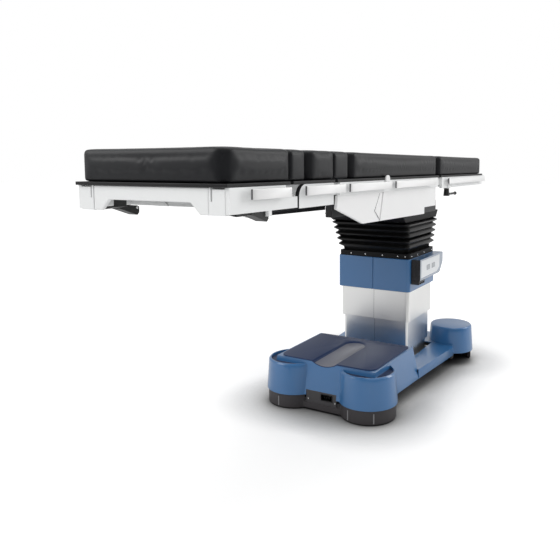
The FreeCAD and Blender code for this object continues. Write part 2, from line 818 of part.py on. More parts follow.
for side, sign in SIDES:
    low = near_end + lever_start
    high = low + lever_length
    top = frame_low - side_gap * 3
    corners = [(low, top - lever_thin), (high - lever_ear, top - lever_thick),
               (high, top - lever_thick + lever_ear),
               (high, top - lever_ear / 2), (high - lever_ear, top), (low, top)]
    across = spans(sign, frame_half - lever_inset, frame_half - lever_inset + lever_width)
    paddle = prism(f"lever_paddle_{side}", "Y", corners, across[0], across[1])
    hole = rod(f"lever_hole_{side}", "Y", lever_pivot_x, across[0], frame_low - lever_ear,
               lever_pin + running_gap, lever_width)
    node(f"release_lever_{side}", carve(f"lever_{side}", paddle, [hole]))

# Inner section: plates around the outer pins, arms to the seat
inner_hinge_x = along_top(inner_hinge_run)
inner_cross_x = (along_top(inner_plate_start) + along_top(inner_plate_end)) / 2
inner_solids = [block("inner_cross", (inner_cross_x, inner_cross_x + cross_width),
                      (-plate_inner, plate_inner),
                      (frame_low + cross_drop, frame_top - cross_drop))]
arm_from = along_top(inner_plate_end) - arm_overlap / 2
for side, sign in SIDES:
    across = spans(sign, plate_inner, frame_half)
    corners = [(along_top(inner_plate_start), frame_low - end_lip),
               (along_top(inner_plate_end), frame_low - end_lip),
               (along_top(inner_plate_end), frame_top), (along_top(inner_plate_start), frame_top)]
    plate = prism(f"inner_plate_{side}", "Y", corners, across[0], across[1], [(outer_arm_half * 2, (3,))])
    backing = block(f"inner_backing_{side}", (arm_from, along_top(inner_plate_end)),
                    spans(sign, arm_inner, plate_inner),
                    (seat_hinge_height - inner_arm_half, seat_hinge_height + inner_arm_half))
    arm = hinge_arm(f"inner_arm_{side}", sign, inner_hinge_x, arm_from, seat_hinge_height, inner_arm_half)
    outer_pin = pin(f"outer_pin_{side}", sign, outer_hinge_x, outer_hinge_height)
    inner_solids.append(join(f"inner_side_{side}", [plate, backing, arm, outer_pin]))
node("inner_frame", group("inner_frame_group", inner_solids))

# Seat frame: side members, cross members, slide rails and pins for both neighbours
far_hinge_x = along_top(far_hinge_run)
cross_places = (along_top(slide_rail_start), along_top(seat_end) - cross_width - arm_overlap)
seat_solids = []
for side, sign in SIDES:
    member = block(f"seat_member_{side}", (along_top(seat_start), along_top(seat_end)),
                   spans(sign, plate_inner, frame_half), (seat_low, frame_top))
    seat_pins = [pin(f"inner_pin_{side}", sign, inner_hinge_x, seat_hinge_height),
                 pin(f"far_pin_{side}", sign, far_hinge_x, seat_hinge_height)]
    seat_solids.append(join(f"seat_side_{side}", [member] + seat_pins))
for number, x in enumerate(cross_places):
    seat_solids.append(block(f"seat_cross{number}", (x, x + cross_width), (-plate_inner, plate_inner),
                             (seat_low + cross_drop, frame_top - cross_drop)))
node("seat_frame", group("seat_frame_group", seat_solids))

slide_rails = []
for side, sign in SIDES:
    across = spans(sign, slide_rail_offset - slide_rail_width / 2, slide_rail_offset + slide_rail_width / 2)
    slide_rails.append(block(f"slide_rail_{side}", (along_top(slide_rail_start), along_top(seat_end)),
                             across, (slide_rail_low, seat_low + cross_drop)))
node("slide_rails", group("slide_rail_group", slide_rails))

# Side covers: a slanted front cover, a folded insert and a stepped rear cover on each side
front_covers = []
rear_covers = []
cover_top = seat_low
seat_x = along_top(seat_start)
foot_x = seat_x + seam_foot_lead
foot_z = cover_top - seam_foot_drop
knee_x = seat_x + seam_knee_lead
knee_z = cover_top - seam_knee_drop
insert_x = seat_x + seam_top_lead
rear_end_x = along_top(seat_end) - cover_end_gap
rear_low_x = along_top(seat_end) - cover_step_length
for side, sign in SIDES:
    across = spans(sign, cover_half - cover_wall, cover_half)
    front = [(seat_x - cover_tip_lead, cover_top - cover_tip_drop),
             (seat_x + cover_keel_lead, cover_top - cover_keel_drop),
             (foot_x - cover_seam, foot_z), (knee_x, knee_z),
             (insert_x - insert_width - cover_seam, cover_top), (seat_x + cover_top_lead, cover_top)]
    front_cover = prism(f"cover_front_{side}", "Y", front, across[0], across[1])
    insert = [(foot_x, foot_z + cover_seam), (insert_x, cover_top), (insert_x - insert_width, cover_top),
              (knee_x + cover_seam, knee_z)]
    insert_across = spans(sign, cover_half - cover_wall, cover_half - cover_wall / 4)
    insert_solid = prism(f"cover_insert_{side}", "Y", insert, insert_across[0], insert_across[1])
    backing = block(f"cover_backing_{side}", (knee_x - cross_width, insert_x),
                    spans(sign, cover_half - cover_wall - backing_wall, cover_half - cover_wall),
                    (cover_top - backing_height, cover_top))
    front_covers.append(join(f"cover_front_solid_{side}", [front_cover, insert_solid, backing]))
    rear = [(foot_x + cover_seam, foot_z), (rear_low_x, cover_top - cover_rear_drop),
            (rear_low_x, cover_top - cover_step_drop), (rear_end_x, cover_top - cover_step_drop),
            (rear_end_x, cover_top), (insert_x + cover_seam, cover_top)]
    rear_covers.append(prism(f"cover_rear_{side}", "Y", rear, across[0], across[1]))
node("front_covers", group("front_cover_group", front_covers))
node("rear_covers", group("rear_cover_group", rear_covers))

# Far section: plates with end lugs, arms into the seat, clamp bosses
far_solids = []
far_low = frame_top - far_frame_height
clamp_x = along_top(clamp_run)
clamp_y = (plate_inner + frame_half) / 2
for side, sign in SIDES:
    across = spans(sign, plate_inner, frame_half)
    far_parts = [block(f"far_plate_{side}", (along_top(far_start), along_top(far_end)), across,
                       (far_low, frame_top)),
                 block(f"far_lug_{side}", (along_top(far_end), along_top(far_end) + far_lug_length), across,
                       (frame_top - far_lug_height, frame_top)),
                 block(f"far_backing_{side}", (along_top(far_start), along_top(far_start) + arm_overlap / 2),
                       spans(sign, arm_inner, plate_inner),
                       (seat_hinge_height - far_arm_half, seat_hinge_height + far_arm_half)),
                 hinge_arm(f"far_arm_{side}", sign, far_hinge_x, along_top(far_start) + arm_overlap / 2,
                           seat_hinge_height, far_arm_half),
                 block(f"clamp_boss_{side}", (clamp_x - clamp_boss / 2, clamp_x + clamp_boss / 2),
                       spans(sign, clamp_y - clamp_boss / 2, clamp_y + clamp_boss / 2),
                       (far_low - cross_drop, far_low + clamp_boss / 2))]
    hole = rod(f"clamp_hole_{side}", "Z", clamp_x, clamp_y * sign, far_low - cross_drop,
               clamp_screw + running_gap, clamp_boss)
    far_solids.append(carve(f"far_side_{side}", join(f"far_side_solid_{side}", far_parts), [hole]))
for number, x in enumerate((along_top(far_start) + arm_overlap, along_top(far_end) - cross_width)):
    far_solids.append(block(f"far_cross{number}", (x, x + cross_width), (-plate_inner, plate_inner),
                            (far_low + cross_drop, frame_top - cross_drop)))
node("far_frame", group("far_frame_group", far_solids))

for side, sign in SIDES:
    hub_top = far_low - cross_drop - side_gap
    hub_low = hub_top - clamp_hub_height
    arm_z = hub_low + clamp_arm_radius * 1.5
    hub = cone(f"clamp_hub_{side}", clamp_x, clamp_y * sign, hub_low, clamp_hub, clamp_hub * 0.8,
               clamp_hub_height)
    screw = rod(f"clamp_screw_{side}", "Z", clamp_x, clamp_y * sign, hub_low, clamp_screw,
                clamp_hub_height + clamp_boss / 2)
    arm = rod(f"clamp_arm_{side}", "X", clamp_x, clamp_y * sign, arm_z, clamp_arm_radius, clamp_arm)
    knob = ball(f"clamp_knob_{side}", clamp_x + clamp_arm, clamp_y * sign, arm_z, clamp_knob)
    node(f"clamp_lever_{side}", join(f"clamp_{side}", [hub, screw, arm, knob]))

# Tilting head: carriage above, chamfered casing, two lugs around the cross
head_top_near = column_x - head_near
head_top_far = column_x + head_far
casing = loft("head_casing", [
    (head_low, rectangle(head_top_near + head_chamfer, head_top_far, head_half - pad_edge)),
    (head_mid, rectangle(head_top_near, head_top_far, head_half))])
head_parts = [casing]
for number, x in enumerate((column_x - lug_inner - lug_wall, column_x + lug_inner)):
    lug = block(f"head_lug{number}", (x, x + lug_wall), (-lug_half, lug_half), (tilt_height, head_low))
    eye = rod(f"head_eye{number}", "X", x, 0, tilt_height, lug_round, lug_wall)
    hole = rod(f"head_hole{number}", "X", x, 0, tilt_height, trunnion + running_gap, lug_wall)
    head_parts.append(carve(f"head_lug_cut{number}", join(f"head_lug_solid{number}", [lug, eye]), [hole]))
node("tilt_head", join("tilt_head_solid", head_parts))

carriage_near = column_x - carriage_length + head_far / 2
carriage_span = (carriage_near, carriage_near + carriage_length)
carriage = block("carriage_block", carriage_span, (-carriage_half, carriage_half), (head_mid, carriage_top))
grooves = []
for side, sign in SIDES:
    across = spans(sign, slide_rail_offset - slide_rail_width / 2 - slide_clearance,
                   slide_rail_offset + slide_rail_width / 2 + slide_clearance)
    grooves.append(block(f"carriage_groove_{side}", carriage_span, across,
                         (slide_rail_low - slide_clearance, carriage_top)))
node("slide_carriage", carve("slide_carriage_cut", carriage, grooves))

# Universal cross: one pair of trunnions along Y, one pair along X
cross_body = block("tilt_cross_block", (column_x - cross_block / 2, column_x + cross_block / 2),
                   (-cross_block / 2, cross_block / 2),
                   (tilt_height - cross_block_height / 2, tilt_height + cross_block_height / 2))
cross_y = rod("tilt_cross_y", "Y", column_x, -(lug_inner + lug_wall), tilt_height, trunnion,
              (lug_inner + lug_wall) * 2)
cross_x = rod("tilt_cross_x", "X", column_x - lug_inner - lug_wall, 0, tilt_height, trunnion,
              (lug_inner + lug_wall) * 2)
node("tilt_cross", join("tilt_cross_solid", [cross_body, cross_y, cross_x]))

# Column cap with the pedestal lugs that carry the cross
cap_top = collar_top + cap_wall
cap_plate = prism("cap_plate", "Z", rectangle(column_x - shell_length_half, column_x + shell_length_half,
                                              shell_half),
                  collar_top, cap_top, [(shell_corner, (0, 1, 2, 3))])
cap_parts = [cap_plate]
for number, y in enumerate((-lug_inner - lug_wall, lug_inner)):
    lug = block(f"cap_lug{number}", (column_x - lug_half, column_x + lug_half), (y, y + lug_wall),
                (cap_top, tilt_height))
    eye = rod(f"cap_eye{number}", "Y", column_x, y, tilt_height, lug_round, lug_wall)
    hole = rod(f"cap_hole{number}", "Y", column_x, y, tilt_height, trunnion + running_gap, lug_wall)
    cap_parts.append(carve(f"cap_lug_cut{number}", join(f"cap_lug_solid{number}", [lug, eye]), [hole]))
node("column_cap", join("column_cap_solid", cap_parts))


# Bellows: one thin skin through alternating wide and narrow rings with cut corners
bellows_foot = cap_top
bellows_head = head_low - side_gap


def ring(share, cut):
    near = bellows_low_near + (bellows_top_near - bellows_low_near) * share - cut
    far = bellows_low_far + (bellows_top_far - bellows_low_far) * share - cut
    half = bellows_low_half + (bellows_top_half - bellows_low_half) * share - cut
    short = half - bellows_corner
    return [(column_x - near, -short), (column_x - near + bellows_corner, -half),
            (column_x + far - bellows_corner, -half), (column_x + far, -short),
            (column_x + far, short), (column_x + far - bellows_corner, half),
            (column_x - near + bellows_corner, half), (column_x - near, short)]


def bellows_form(name, inset):
    levels = [(bellows_head, 0)]
    for fold in range(BELLOWS_FOLDS):
        tip = head_low - fold_margin - fold_pitch * fold
        levels.append((tip, 1))
        levels.append((tip - fold_pitch / 2, 0))
    levels.append((bellows_foot, 0))
    steps = len(levels) - 2
    sections = []
    for number, (height, is_tip) in enumerate(levels):
        cut = inset if is_tip else inset + fold_depth
        sections.append((height, ring(round(max(1 - number / steps, 0), 3), cut)))
    return loft(name, sections)


node("bellows", carve("bellows_skin", bellows_form("bellows_outside", as_size(0)),
                      [bellows_form("bellows_inside", bellows_wall)]))

# Retaining strip around the foot of the bellows
strip_near = bellows_low_near - fold_depth
strip_far = bellows_low_far - fold_depth
strip_half = bellows_low_half - fold_depth
strip_outer = prism("strip_outer", "Z",
                    rectangle(column_x - collar_length_half + strip_wall,
                              column_x + collar_length_half - strip_wall,
                              collar_half - strip_wall),
                    collar_top, collar_top + strip_height, [(collar_corner, (0, 1, 2, 3))])
strip_inner = prism("strip_inner", "Z",
                    rectangle(column_x - strip_near - side_gap, column_x + strip_far + side_gap,
                              strip_half + side_gap),
                    cap_top, collar_top + strip_height, [(bellows_corner / 2, (0, 1, 2, 3))])
strip_cap = prism("strip_cap_room", "Z",
                  rectangle(column_x - shell_length_half, column_x + shell_length_half, shell_half),
                  collar_top, cap_top, [(shell_corner, (0, 1, 2, 3))])
node("bellows_strip", carve("bellows_strip_cut", strip_outer, [strip_inner, strip_cap]))

# Telescoping column: three tubes with guide bands
node("outer_column", tube("outer_shell", shell_length_half, shell_half, shell_corner, shell_wall,
                          outer_shell_low, collar_top))


def inner_shell(name, step, low, high):
    x_half = shell_length_half - step
    y_half = shell_half - step
    corner = shell_corner - step / 2
    shell = tube(name, x_half, y_half, corner, shell_wall, low, high)
    grow = shell_step - shell_wall - guide_gap
    band = tube(name + "_guide", x_half + grow, y_half + grow, corner + grow, grow,
                high - shell_guide_height, high)
    return join(name + "_solid", [shell, band])


node("middle_column", inner_shell("middle_shell", shell_step, middle_shell_low, middle_shell_top))
node("inner_column", inner_shell("inner_shell", shell_step * 2, chassis_top, inner_shell_top))

# Collar: two blue halves with a seam at the middle
for side, sign in SIDES:
    outside = prism(f"collar_outside_{side}", "Z",
                    rectangle(column_x - collar_length_half, column_x + collar_length_half, collar_half),
                    collar_low, collar_top, [(collar_corner, (0, 1, 2, 3))])
    inside = prism(f"collar_inside_{side}", "Z",
                   rectangle(column_x - shell_length_half, column_x + shell_length_half, shell_half),
                   collar_low, collar_top, [(shell_corner, (0, 1, 2, 3))])
    other = block(f"collar_other_{side}", (column_x - collar_length_half, column_x + collar_length_half),
                  spans(-sign, -side_gap, collar_half), (collar_low, collar_top))
    node(f"collar_{side}", carve(f"collar_cut_{side}", outside, [inside, other]))

# Control housing: a moulded box on the collar's side, with a key panel and a bracket below
housing_low_x = column_x - housing_lead
housing_high_x = housing_low_x + housing_length
housing_outer = -(collar_half + housing_depth)
housing_corners = [(housing_low_x, housing_low), (housing_high_x - housing_step, housing_low),
                   (housing_high_x, housing_low + housing_step), (housing_high_x, collar_top),
                   (housing_low_x, collar_top)]
housing_body = prism("housing_body", "Y", housing_corners, housing_outer, -collar_half,
                     [(housing_corner, (1, 2))])
panel_low_x = housing_low_x + panel_border
panel_high_x = panel_low_x + panel_length
panel_top = collar_top - panel_border / 2
panel_foot = panel_top - panel_height
panel_corners = [(panel_low_x, panel_foot), (panel_high_x - panel_corner * 2, panel_foot),
                 (panel_high_x, panel_foot + panel_corner), (panel_high_x, panel_top), (panel_low_x,
                                                                                        panel_top)]
panel_room = prism("panel_room", "Y", panel_corners, housing_outer, housing_outer + panel_wall)
key_x = [panel_low_x + panel_length / 2 + key_pitch * step for step in (-0.5, 0.5)]
key_low = panel_foot + (panel_height - key_height) / 2
key_rooms = []
key_holes = []
for number, x in enumerate(key_x):
    span_x = (x - key_width / 2 - key_gap, x + key_width / 2 + key_gap)
    span_z = (key_low - key_gap, key_low + key_height + key_gap)
    room = (housing_outer + panel_wall, housing_outer + key_depth + key_travel * 2)
    key_rooms.append(block(f"key_room{number}", span_x, room, span_z))
    key_holes.append(block(f"key_hole{number}", span_x, (housing_outer, housing_outer + panel_wall), span_z))
node("control_housing", carve("housing_cut", housing_body, [panel_room] + key_rooms))
panel_plate = prism("panel_plate", "Y", panel_corners, housing_outer, housing_outer + panel_wall)
node("key_panel", carve("panel_cut", panel_plate, key_holes))
for number, (x, label) in enumerate(zip(key_x, ("lift_key", "lower_key"))):
    key = block(label + "_block", (x - key_width / 2, x + key_width / 2),
                (housing_outer - key_travel, housing_outer + key_depth), (key_low, key_low + key_height))
    node(label, key)

bracket_x = housing_low_x + side_gap
bracket_plate = block("bracket_plate", (bracket_x, bracket_x + bracket_run),
                      (housing_outer + pad_inset, -collar_half),
                      (bracket_low + rib_width, housing_low))
ribs = []
for number in range(BRACKET_RIBS):
    x = bracket_x + (bracket_run - rib_width) / (BRACKET_RIBS - 1) * number
    ribs.append(block(f"bracket_rib{number}", (x, x + rib_width), (housing_outer + pad_inset, -collar_half),
                      (bracket_low, bracket_low + rib_width)))
node("housing_bracket", join("housing_bracket_solid", [bracket_plate] + ribs))


# Base cover: a raked body with draft, four round pods and a low platform, hollow below
def base_form(name, inset, low, high):
    front = along_top(base_front) + inset
    rear = along_top(base_rear) - inset
    body = loft(name + "_body", [
        (low, [(front, -(base_front_half - inset)), (rear, -(base_rear_half - inset)),
               (rear, base_rear_half - inset), (front, base_front_half - inset)]),
        (high, [(front + base_front_rake, -(base_front_top_half - inset)),
                (rear, -(base_rear_top_half - inset)), (rear, base_rear_top_half - inset),
                (front + base_front_rake, base_front_top_half - inset)])])
    return body


def pod(name, x, y, radius, inset, low, high):
    return cone(name, x, y, low, radius + pod_draft - inset, radius - inset, high - low)


def pod_outside(name, x, y, radius, recessed):
    shoulder = pod_top - pod_edge
    wall = pod(name + "_wall", x, y, radius, as_size(0), base_low, shoulder)
    rim = cone(name + "_rim", x, y, shoulder, radius, radius - pod_edge, pod_edge)
    solid = join(name + "_solid", [wall, rim])
    if not recessed:
        return solid
    recess = rod(name + "_recess", "Z", x, y, pod_top - pod_recess, radius - pod_rim, pod_recess)
    return carve(name + "_recessed", solid, [recess])


pods = (("near_left", pod_run, pod_offset, pod_radius), ("near_right", pod_run, -pod_offset, pod_radius),
        ("far_left", far_pod_run, far_pod_offset, far_pod_radius),
        ("far_right", far_pod_run, -far_pod_offset, far_pod_radius))
platform = [(along_top(base_rear) - well_gap, -base_rear_half), (along_top(platform_run), -platform_half),
            (along_top(far_pod_run), -far_pod_offset), (along_top(platform_end),
                                                        -(far_pod_offset - pod_radius / 2)),
            (along_top(platform_end), far_pod_offset - pod_radius / 2), (along_top(far_pod_run),
                                                                         far_pod_offset),
            (along_top(platform_run), platform_half), (along_top(base_rear) - well_gap, base_rear_half)]


def inset_corners(corners, inset):
    return [(x, y - inset if y.number > 0 else y + inset) for x, y in corners]


outer_forms = [base_form("base_outside", as_size(0), base_low, base_top)]
inner_forms = [base_form("base_inside", base_wall, base_low, base_top - base_wall)]
for label, run, offset, radius in pods:
    recessed = run is pod_run
    outer_forms.append(pod_outside(f"pod_{label}", along_top(run), offset, radius, recessed))
    inner_forms.append(pod(f"pod_inside_{label}", along_top(run), offset, radius, base_wall + side_gap,
                           base_low,
                           pod_top - pod_recess - base_wall))
outer_forms.append(prism("platform_outside", "Z", platform, base_low, platform_top))
inner_forms.append(prism("platform_inside", "Z", inset_corners(platform, base_wall), base_low,
                         platform_top - base_wall))
well = block("column_well", (column_x - shell_length_half - well_gap,
                             column_x + shell_length_half + well_gap),
             (-(shell_half + well_gap), shell_half + well_gap), (base_low, base_top))
trough_z = deck_top - trough_depth + trough_radius
trough_front = along_top(base_front) - base_front_rake


def trough(name, radius):
    channel = rod(name + "_channel", "X", trough_front, 0, trough_z, radius,
                  along_top(trough_end) - trough_front)
    end = ball(name + "_end", along_top(trough_end), 0, trough_z, radius)
    return [channel, end]


cover_tools = [join("base_room", inner_forms), well] + trough("cover_trough", trough_radius + trough_wall)
socket_front = along_top(base_front) - base_front_rake
cover_tools.append(block("socket_room", (socket_front, along_top(base_front) + base_front_rake),
                         (-socket_right - side_gap, socket_left + side_gap), (base_low,
                                                                              socket_high + side_gap)))
bosses = []
boss_runs = (carrier_near + carrier_bar + boss_radius, base_rear - boss_radius * 3)
for number, run in enumerate(boss_runs):
    for side, sign in SIDES:
        bosses.append(rod(f"cover_boss{number}_{side}", "Z", along_top(run),
                          (chassis_half - boss_radius * 2) * sign,
                          chassis_top, boss_radius, base_top - base_wall - chassis_top))
node("base_cover", join("base_cover_solid", [carve("base_hollow", join("base_blank", outer_forms),
                                                   cover_tools)]
                        + bosses))

# Deck panel: a bevelled plate with a rounded trough open at the near end
deck_front = along_top(base_front) + base_front_rake + deck_inset / 2
deck_rear = along_top(base_rear) - deck_inset
deck_corners = [(deck_front, -(base_front_top_half - deck_inset)),
                (deck_rear, -(base_rear_top_half - deck_inset)),
                (deck_rear, base_rear_top_half - deck_inset), (deck_front, base_front_top_half - deck_inset)]
deck_plate = prism("deck_plate", "Z", deck_corners, base_top, deck_top,
                   [(deck_corner, (0, 3)), (deck_corner / 2, (1, 2))])
round_body(deck_plate, deck_plate.Tip, "deck_edge_round", deck_edge, at_height(deck_top))
liner_room = block("liner_room", (along_top(base_front), deck_rear), (-trough_radius, trough_radius),
                   (base_top - trough_depth, base_top))
liner = common("trough_liner", join("trough_liner_round", trough("liner", trough_radius + trough_wall)),
               liner_room)
rake_start = along_top(base_front)
deck_wedge = prism("deck_wedge", "Y",
                   [(rake_start - base_front_rake, base_low), (rake_start, base_low),
                    (rake_start + base_front_rake, base_top), (rake_start + base_front_rake, deck_top),
                    (rake_start - base_front_rake, deck_top)], -trough_radius, trough_radius)
node("deck_panel", carve("deck_cut", join("deck_with_liner", [deck_plate, liner]),
                         trough("deck_trough", trough_radius) + [deck_wedge]))

# Skirt: round walls below the near pods, open arcs below the far pods, and pans under the chassis
pan_start = along_top(base_front) + socket_recess
chassis_corners = [(pan_start, -pan_half), (along_top(carrier_near), -pan_half),
                   (along_top(carrier_near) + carrier_bar, -chassis_half), (along_top(far_pod_run),
                                                                            -chassis_half),
                   (along_top(far_pod_run), chassis_half), (along_top(carrier_near) + carrier_bar,
                                                            chassis_half),
                   (along_top(carrier_near), pan_half), (pan_start, pan_half)]
skirt_parts = []
for side, sign in SIDES:
    centre = (along_top(pod_run), pod_offset * sign)
    wall = rod(f"skirt_outer_{side}", "Z", centre[0], centre[1], foot_height, skirt_radius,
               base_low - foot_height)
    hollow = rod(f"skirt_inner_{side}", "Z", centre[0], centre[1], foot_height, skirt_radius - skirt_wall,
                 base_low - foot_height)
    room = prism(f"skirt_room_{side}", "Z", chassis_corners, chassis_low, base_low)
    skirt_parts.append(carve(f"skirt_ring_{side}", wall, [hollow, room]))
skirt_parts.append(block("near_pan", (pan_start, pan_start + pan_length), (-pan_half, pan_half),
                         (pan_low, chassis_low)))
skirt_parts.append(block("near_lip", (along_top(base_front), pan_start), (-skirt_lip_half, skirt_lip_half),
                         (skirt_lip, socket_low)))
skirt_parts.append(block("near_lip_tie", (pan_start, pan_start + pan_wall), (-skirt_lip_half, skirt_lip_half),
                         (skirt_lip, chassis_low)))
far_skirts = []
for side, sign in SIDES:
    x = along_top(far_pod_run)
    y = far_pod_offset * sign
    wall = rod(f"far_skirt_outer_{side}", "Z", x, y, foot_height, far_skirt_radius, base_low - foot_height)
    hollow = rod(f"far_skirt_inner_{side}", "Z", x, y, foot_height, far_skirt_radius - skirt_wall,
                 base_low - foot_height)
    arch = block(f"far_arch_{side}", (x - far_skirt_radius, x + far_skirt_radius / 2),
                 spans(sign, far_pod_offset - far_skirt_radius / 2, far_pod_offset + far_skirt_radius),
                 (foot_height, base_low))
    room = prism(f"far_skirt_room_{side}", "Z", chassis_corners, chassis_low, base_low)
    far_skirts.append(carve(f"far_skirt_{side}", wall, [hollow, arch, room]))
far_pan = block("far_pan", (along_top(platform_run) - boss_radius * 4, along_top(far_pod_run)),
                (-far_pan_half, far_pan_half), (pan_low, chassis_low))
far_room = rod("far_pan_room_left", "Z", along_top(far_pod_run), far_pod_offset, pan_low,
               far_skirt_radius - skirt_wall, pan_wall)
far_room_two = rod("far_pan_room_right", "Z", along_top(far_pod_run), -far_pod_offset, pan_low,
                   far_skirt_radius - skirt_wall, pan_wall)
far_tray = join("far_tray", [carve("far_pan_cut", far_pan, [far_room, far_room_two])] + far_skirts)
node("base_skirt", group("base_skirt_group", [join("near_tray", skirt_parts), far_tray]))

# Foot pads: rubber rings and arcs that the whole table stands on
feet = []
for side, sign in SIDES:
    centre = (along_top(pod_run), pod_offset * sign)
    wall = rod(f"foot_outer_{side}", "Z", centre[0], centre[1], 0, skirt_radius - pan_wall / 2, foot_height)
    hollow = rod(f"foot_inner_{side}", "Z", centre[0], centre[1], 0, skirt_radius - skirt_wall, foot_height)
    feet.append(carve(f"foot_ring_{side}", wall, [hollow]))
    x = along_top(far_pod_run)
    y = far_pod_offset * sign
    wall = rod(f"far_foot_outer_{side}", "Z", x, y, 0, far_skirt_radius - pan_wall / 2, foot_height)
    hollow = rod(f"far_foot_inner_{side}", "Z", x, y, 0, far_skirt_radius - skirt_wall, foot_height)
    arch = block(f"far_foot_arch_{side}", (x - far_skirt_radius, x + far_skirt_radius / 2),
                 spans(sign, far_pod_offset - far_skirt_radius / 2, far_pod_offset + far_skirt_radius),
                 (0, foot_height))
    feet.append(carve(f"far_foot_{side}", wall, [hollow, arch]))
node("foot_pads", group("foot_pad_group", feet))

# Chassis plate with guide posts for the caster carrier
chassis_parts = [prism("chassis_plate", "Z", chassis_corners, chassis_low, chassis_top)]
bar_places = (along_top(carrier_near), along_top(carrier_far))
for number, x in enumerate(bar_places):
    for side, sign in SIDES:
        chassis_parts.append(rod(f"guide_post{number}_{side}", "Z", x, post_offset * sign, chassis_top,
                                 post_radius, carrier_top + rib_width - chassis_top))
node("chassis", join("chassis_solid", chassis_parts))

# Caster carrier: two rails, two bars and four arms, sliding on the posts
carrier_solids = []
carrier_z = (carrier_low, carrier_top)
rail_edge = carrier_offset - carrier_width / 2
for side, sign in SIDES:
    carrier_solids.append(block(f"carrier_rail_{side}",
                                (along_top(pod_run) - caster_arm / 2,
                                 along_top(far_pod_run) + caster_arm / 2),
                                spans(sign, rail_edge, rail_edge + carrier_width), carrier_z))
for number, x in enumerate(bar_places):
    bar = block(f"carrier_bar{number}", (x - carrier_bar / 2, x + carrier_bar / 2), (-rail_edge, rail_edge),
                carrier_z)
    post_holes = [rod(f"carrier_hole{number}_{side}", "Z", x, post_offset * sign, carrier_low,
                      post_radius + running_gap, carrier_height) for side, sign in SIDES]
    carrier_solids.append(carve(f"carrier_bar_cut{number}", bar, post_holes))
for label, run, offset, radius in pods:
    x = along_top(run)
    sign = 1 if offset.number > 0 else -1
    reach = offset * sign
    if reach.number < rail_edge.number:
        across = spans(sign, reach - caster_arm / 2, rail_edge)
    else:
        across = spans(sign, rail_edge + carrier_width, reach + caster_arm / 2)
    arm = block(f"carrier_arm_{label}", (x - caster_arm / 2, x + caster_arm / 2), across, carrier_z)
    hole = rod(f"stem_hole_{label}", "Z", x, offset, carrier_low, stem_radius + running_gap, carrier_height)
    carrier_solids.append(carve(f"carrier_arm_cut_{label}", arm, [hole]))
node("caster_carrier", group("caster_carrier_group", carrier_solids))

# Casters: a fork with stem and axle, and a pair of wheels
for label, run, offset, radius in pods:
    x = along_top(run)
    axle_x = x - caster_trail
    axle_z = wheel_lift + wheel_radius
    plate_top = carrier_low - side_gap
    stem = rod(f"stem_{label}", "Z", x, offset, plate_top, stem_radius, carrier_height + side_gap + pad_inset)
    top_plate = rod(f"fork_plate_{label}", "Z", x, offset, plate_top - fork_plate, stem_radius * 2,
                    fork_plate)
    blade = block(f"fork_blade_{label}", (axle_x - stem_radius, x + stem_radius),
                  (offset - wheel_slot / 2 + side_gap, offset + wheel_slot / 2 - side_gap),
                  (axle_z - stem_radius, plate_top))
    axle_half = wheel_slot / 2 + wheel_width
    axle = rod(f"axle_{label}", "Y", axle_x, offset - axle_half, axle_z, axle_radius, axle_half * 2)
    node(f"caster_fork_{label}", join(f"fork_{label}", [stem, top_plate, blade, axle]))
    wheels = []
    for side, y in (("a", offset - wheel_slot / 2 - wheel_width), ("b", offset + wheel_slot / 2)):
        disc = rod(f"wheel_{label}_{side}", "Y", axle_x, y, axle_z, wheel_radius, wheel_width)
        bore = rod(f"wheel_bore_{label}_{side}", "Y", axle_x, y, axle_z, axle_radius + running_gap,
                   wheel_width)
        wheels.append(carve(f"wheel_cut_{label}_{side}", disc, [bore]))
    node(f"caster_wheels_{label}", group(f"wheel_pair_{label}", wheels))

# Socket panel and mains inlet in the front of the skirt
socket_x = along_top(base_front) + socket_recess
socket_plate = block("socket_plate", (socket_x, socket_x + pan_wall), (-socket_right, socket_left),
                     (chassis_top, socket_high))
socket_front_plate = block("socket_front_plate", (socket_x - socket_recess / 2, socket_x),
                           (-socket_right, socket_left), (socket_low, socket_high))
inlet_y = (inlet_centre - inlet_half, inlet_centre + inlet_half)
inlet_z = (inlet_low, inlet_low + inlet_height)
inlet_x = socket_x - socket_recess / 2 - inlet_wall
inlet_cut = block("inlet_cut", (inlet_x, inlet_x + inlet_depth + inlet_wall), inlet_y, inlet_z)
node("socket_panel", carve("socket_panel_cut", join("socket_panel_solid", [socket_plate, socket_front_plate]),
                           [inlet_cut]))
inlet_body = block("inlet_body", (inlet_x, inlet_x + inlet_depth + inlet_wall), inlet_y, inlet_z)
inlet_hollow = block("inlet_hollow", (inlet_x, inlet_x + inlet_depth),
                     (inlet_centre - inlet_half + inlet_wall, inlet_centre + inlet_half - inlet_wall),
                     (inlet_low + inlet_wall, inlet_low + inlet_height - inlet_wall))
blades = []
for number, step in enumerate((-1, 0, 1)):
    y = inlet_centre + inlet_half / 2.5 * step
    blades.append(block(f"inlet_blade{number}", (inlet_x + inlet_wall * 2, inlet_x + inlet_depth),
                        (y - inlet_wall / 2, y + inlet_wall / 2),
                        (inlet_low + inlet_height / 3, inlet_low + inlet_height * 0.66)))
node("mains_inlet", join("mains_inlet_solid", [carve("inlet_shell", inlet_body, [inlet_hollow])] + blades))

# Checks and files
doc.recompute()
for obj in doc.Objects:
    if "Invalid" in obj.State or "Error" in obj.State:
        raise RuntimeError(f"{obj.Name}: {obj.State}")
os.makedirs("parts", exist_ok=True)
for label, obj in NODES.items():
    shape = obj.Shape
    if shape.isNull() or not shape.isValid() or not shape.Solids:
        raise RuntimeError(f"{label}: bad shape")
    shape.exportStep(f"parts/{label}.step")
    print(f"{label}: {len(shape.Solids)} solid(s), {shape.Volume / 1000:.1f} cm3")
print(len(NODES), "nodes")
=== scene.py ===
import json
import math

import bmesh
import bpy
from mathutils import Matrix, Vector

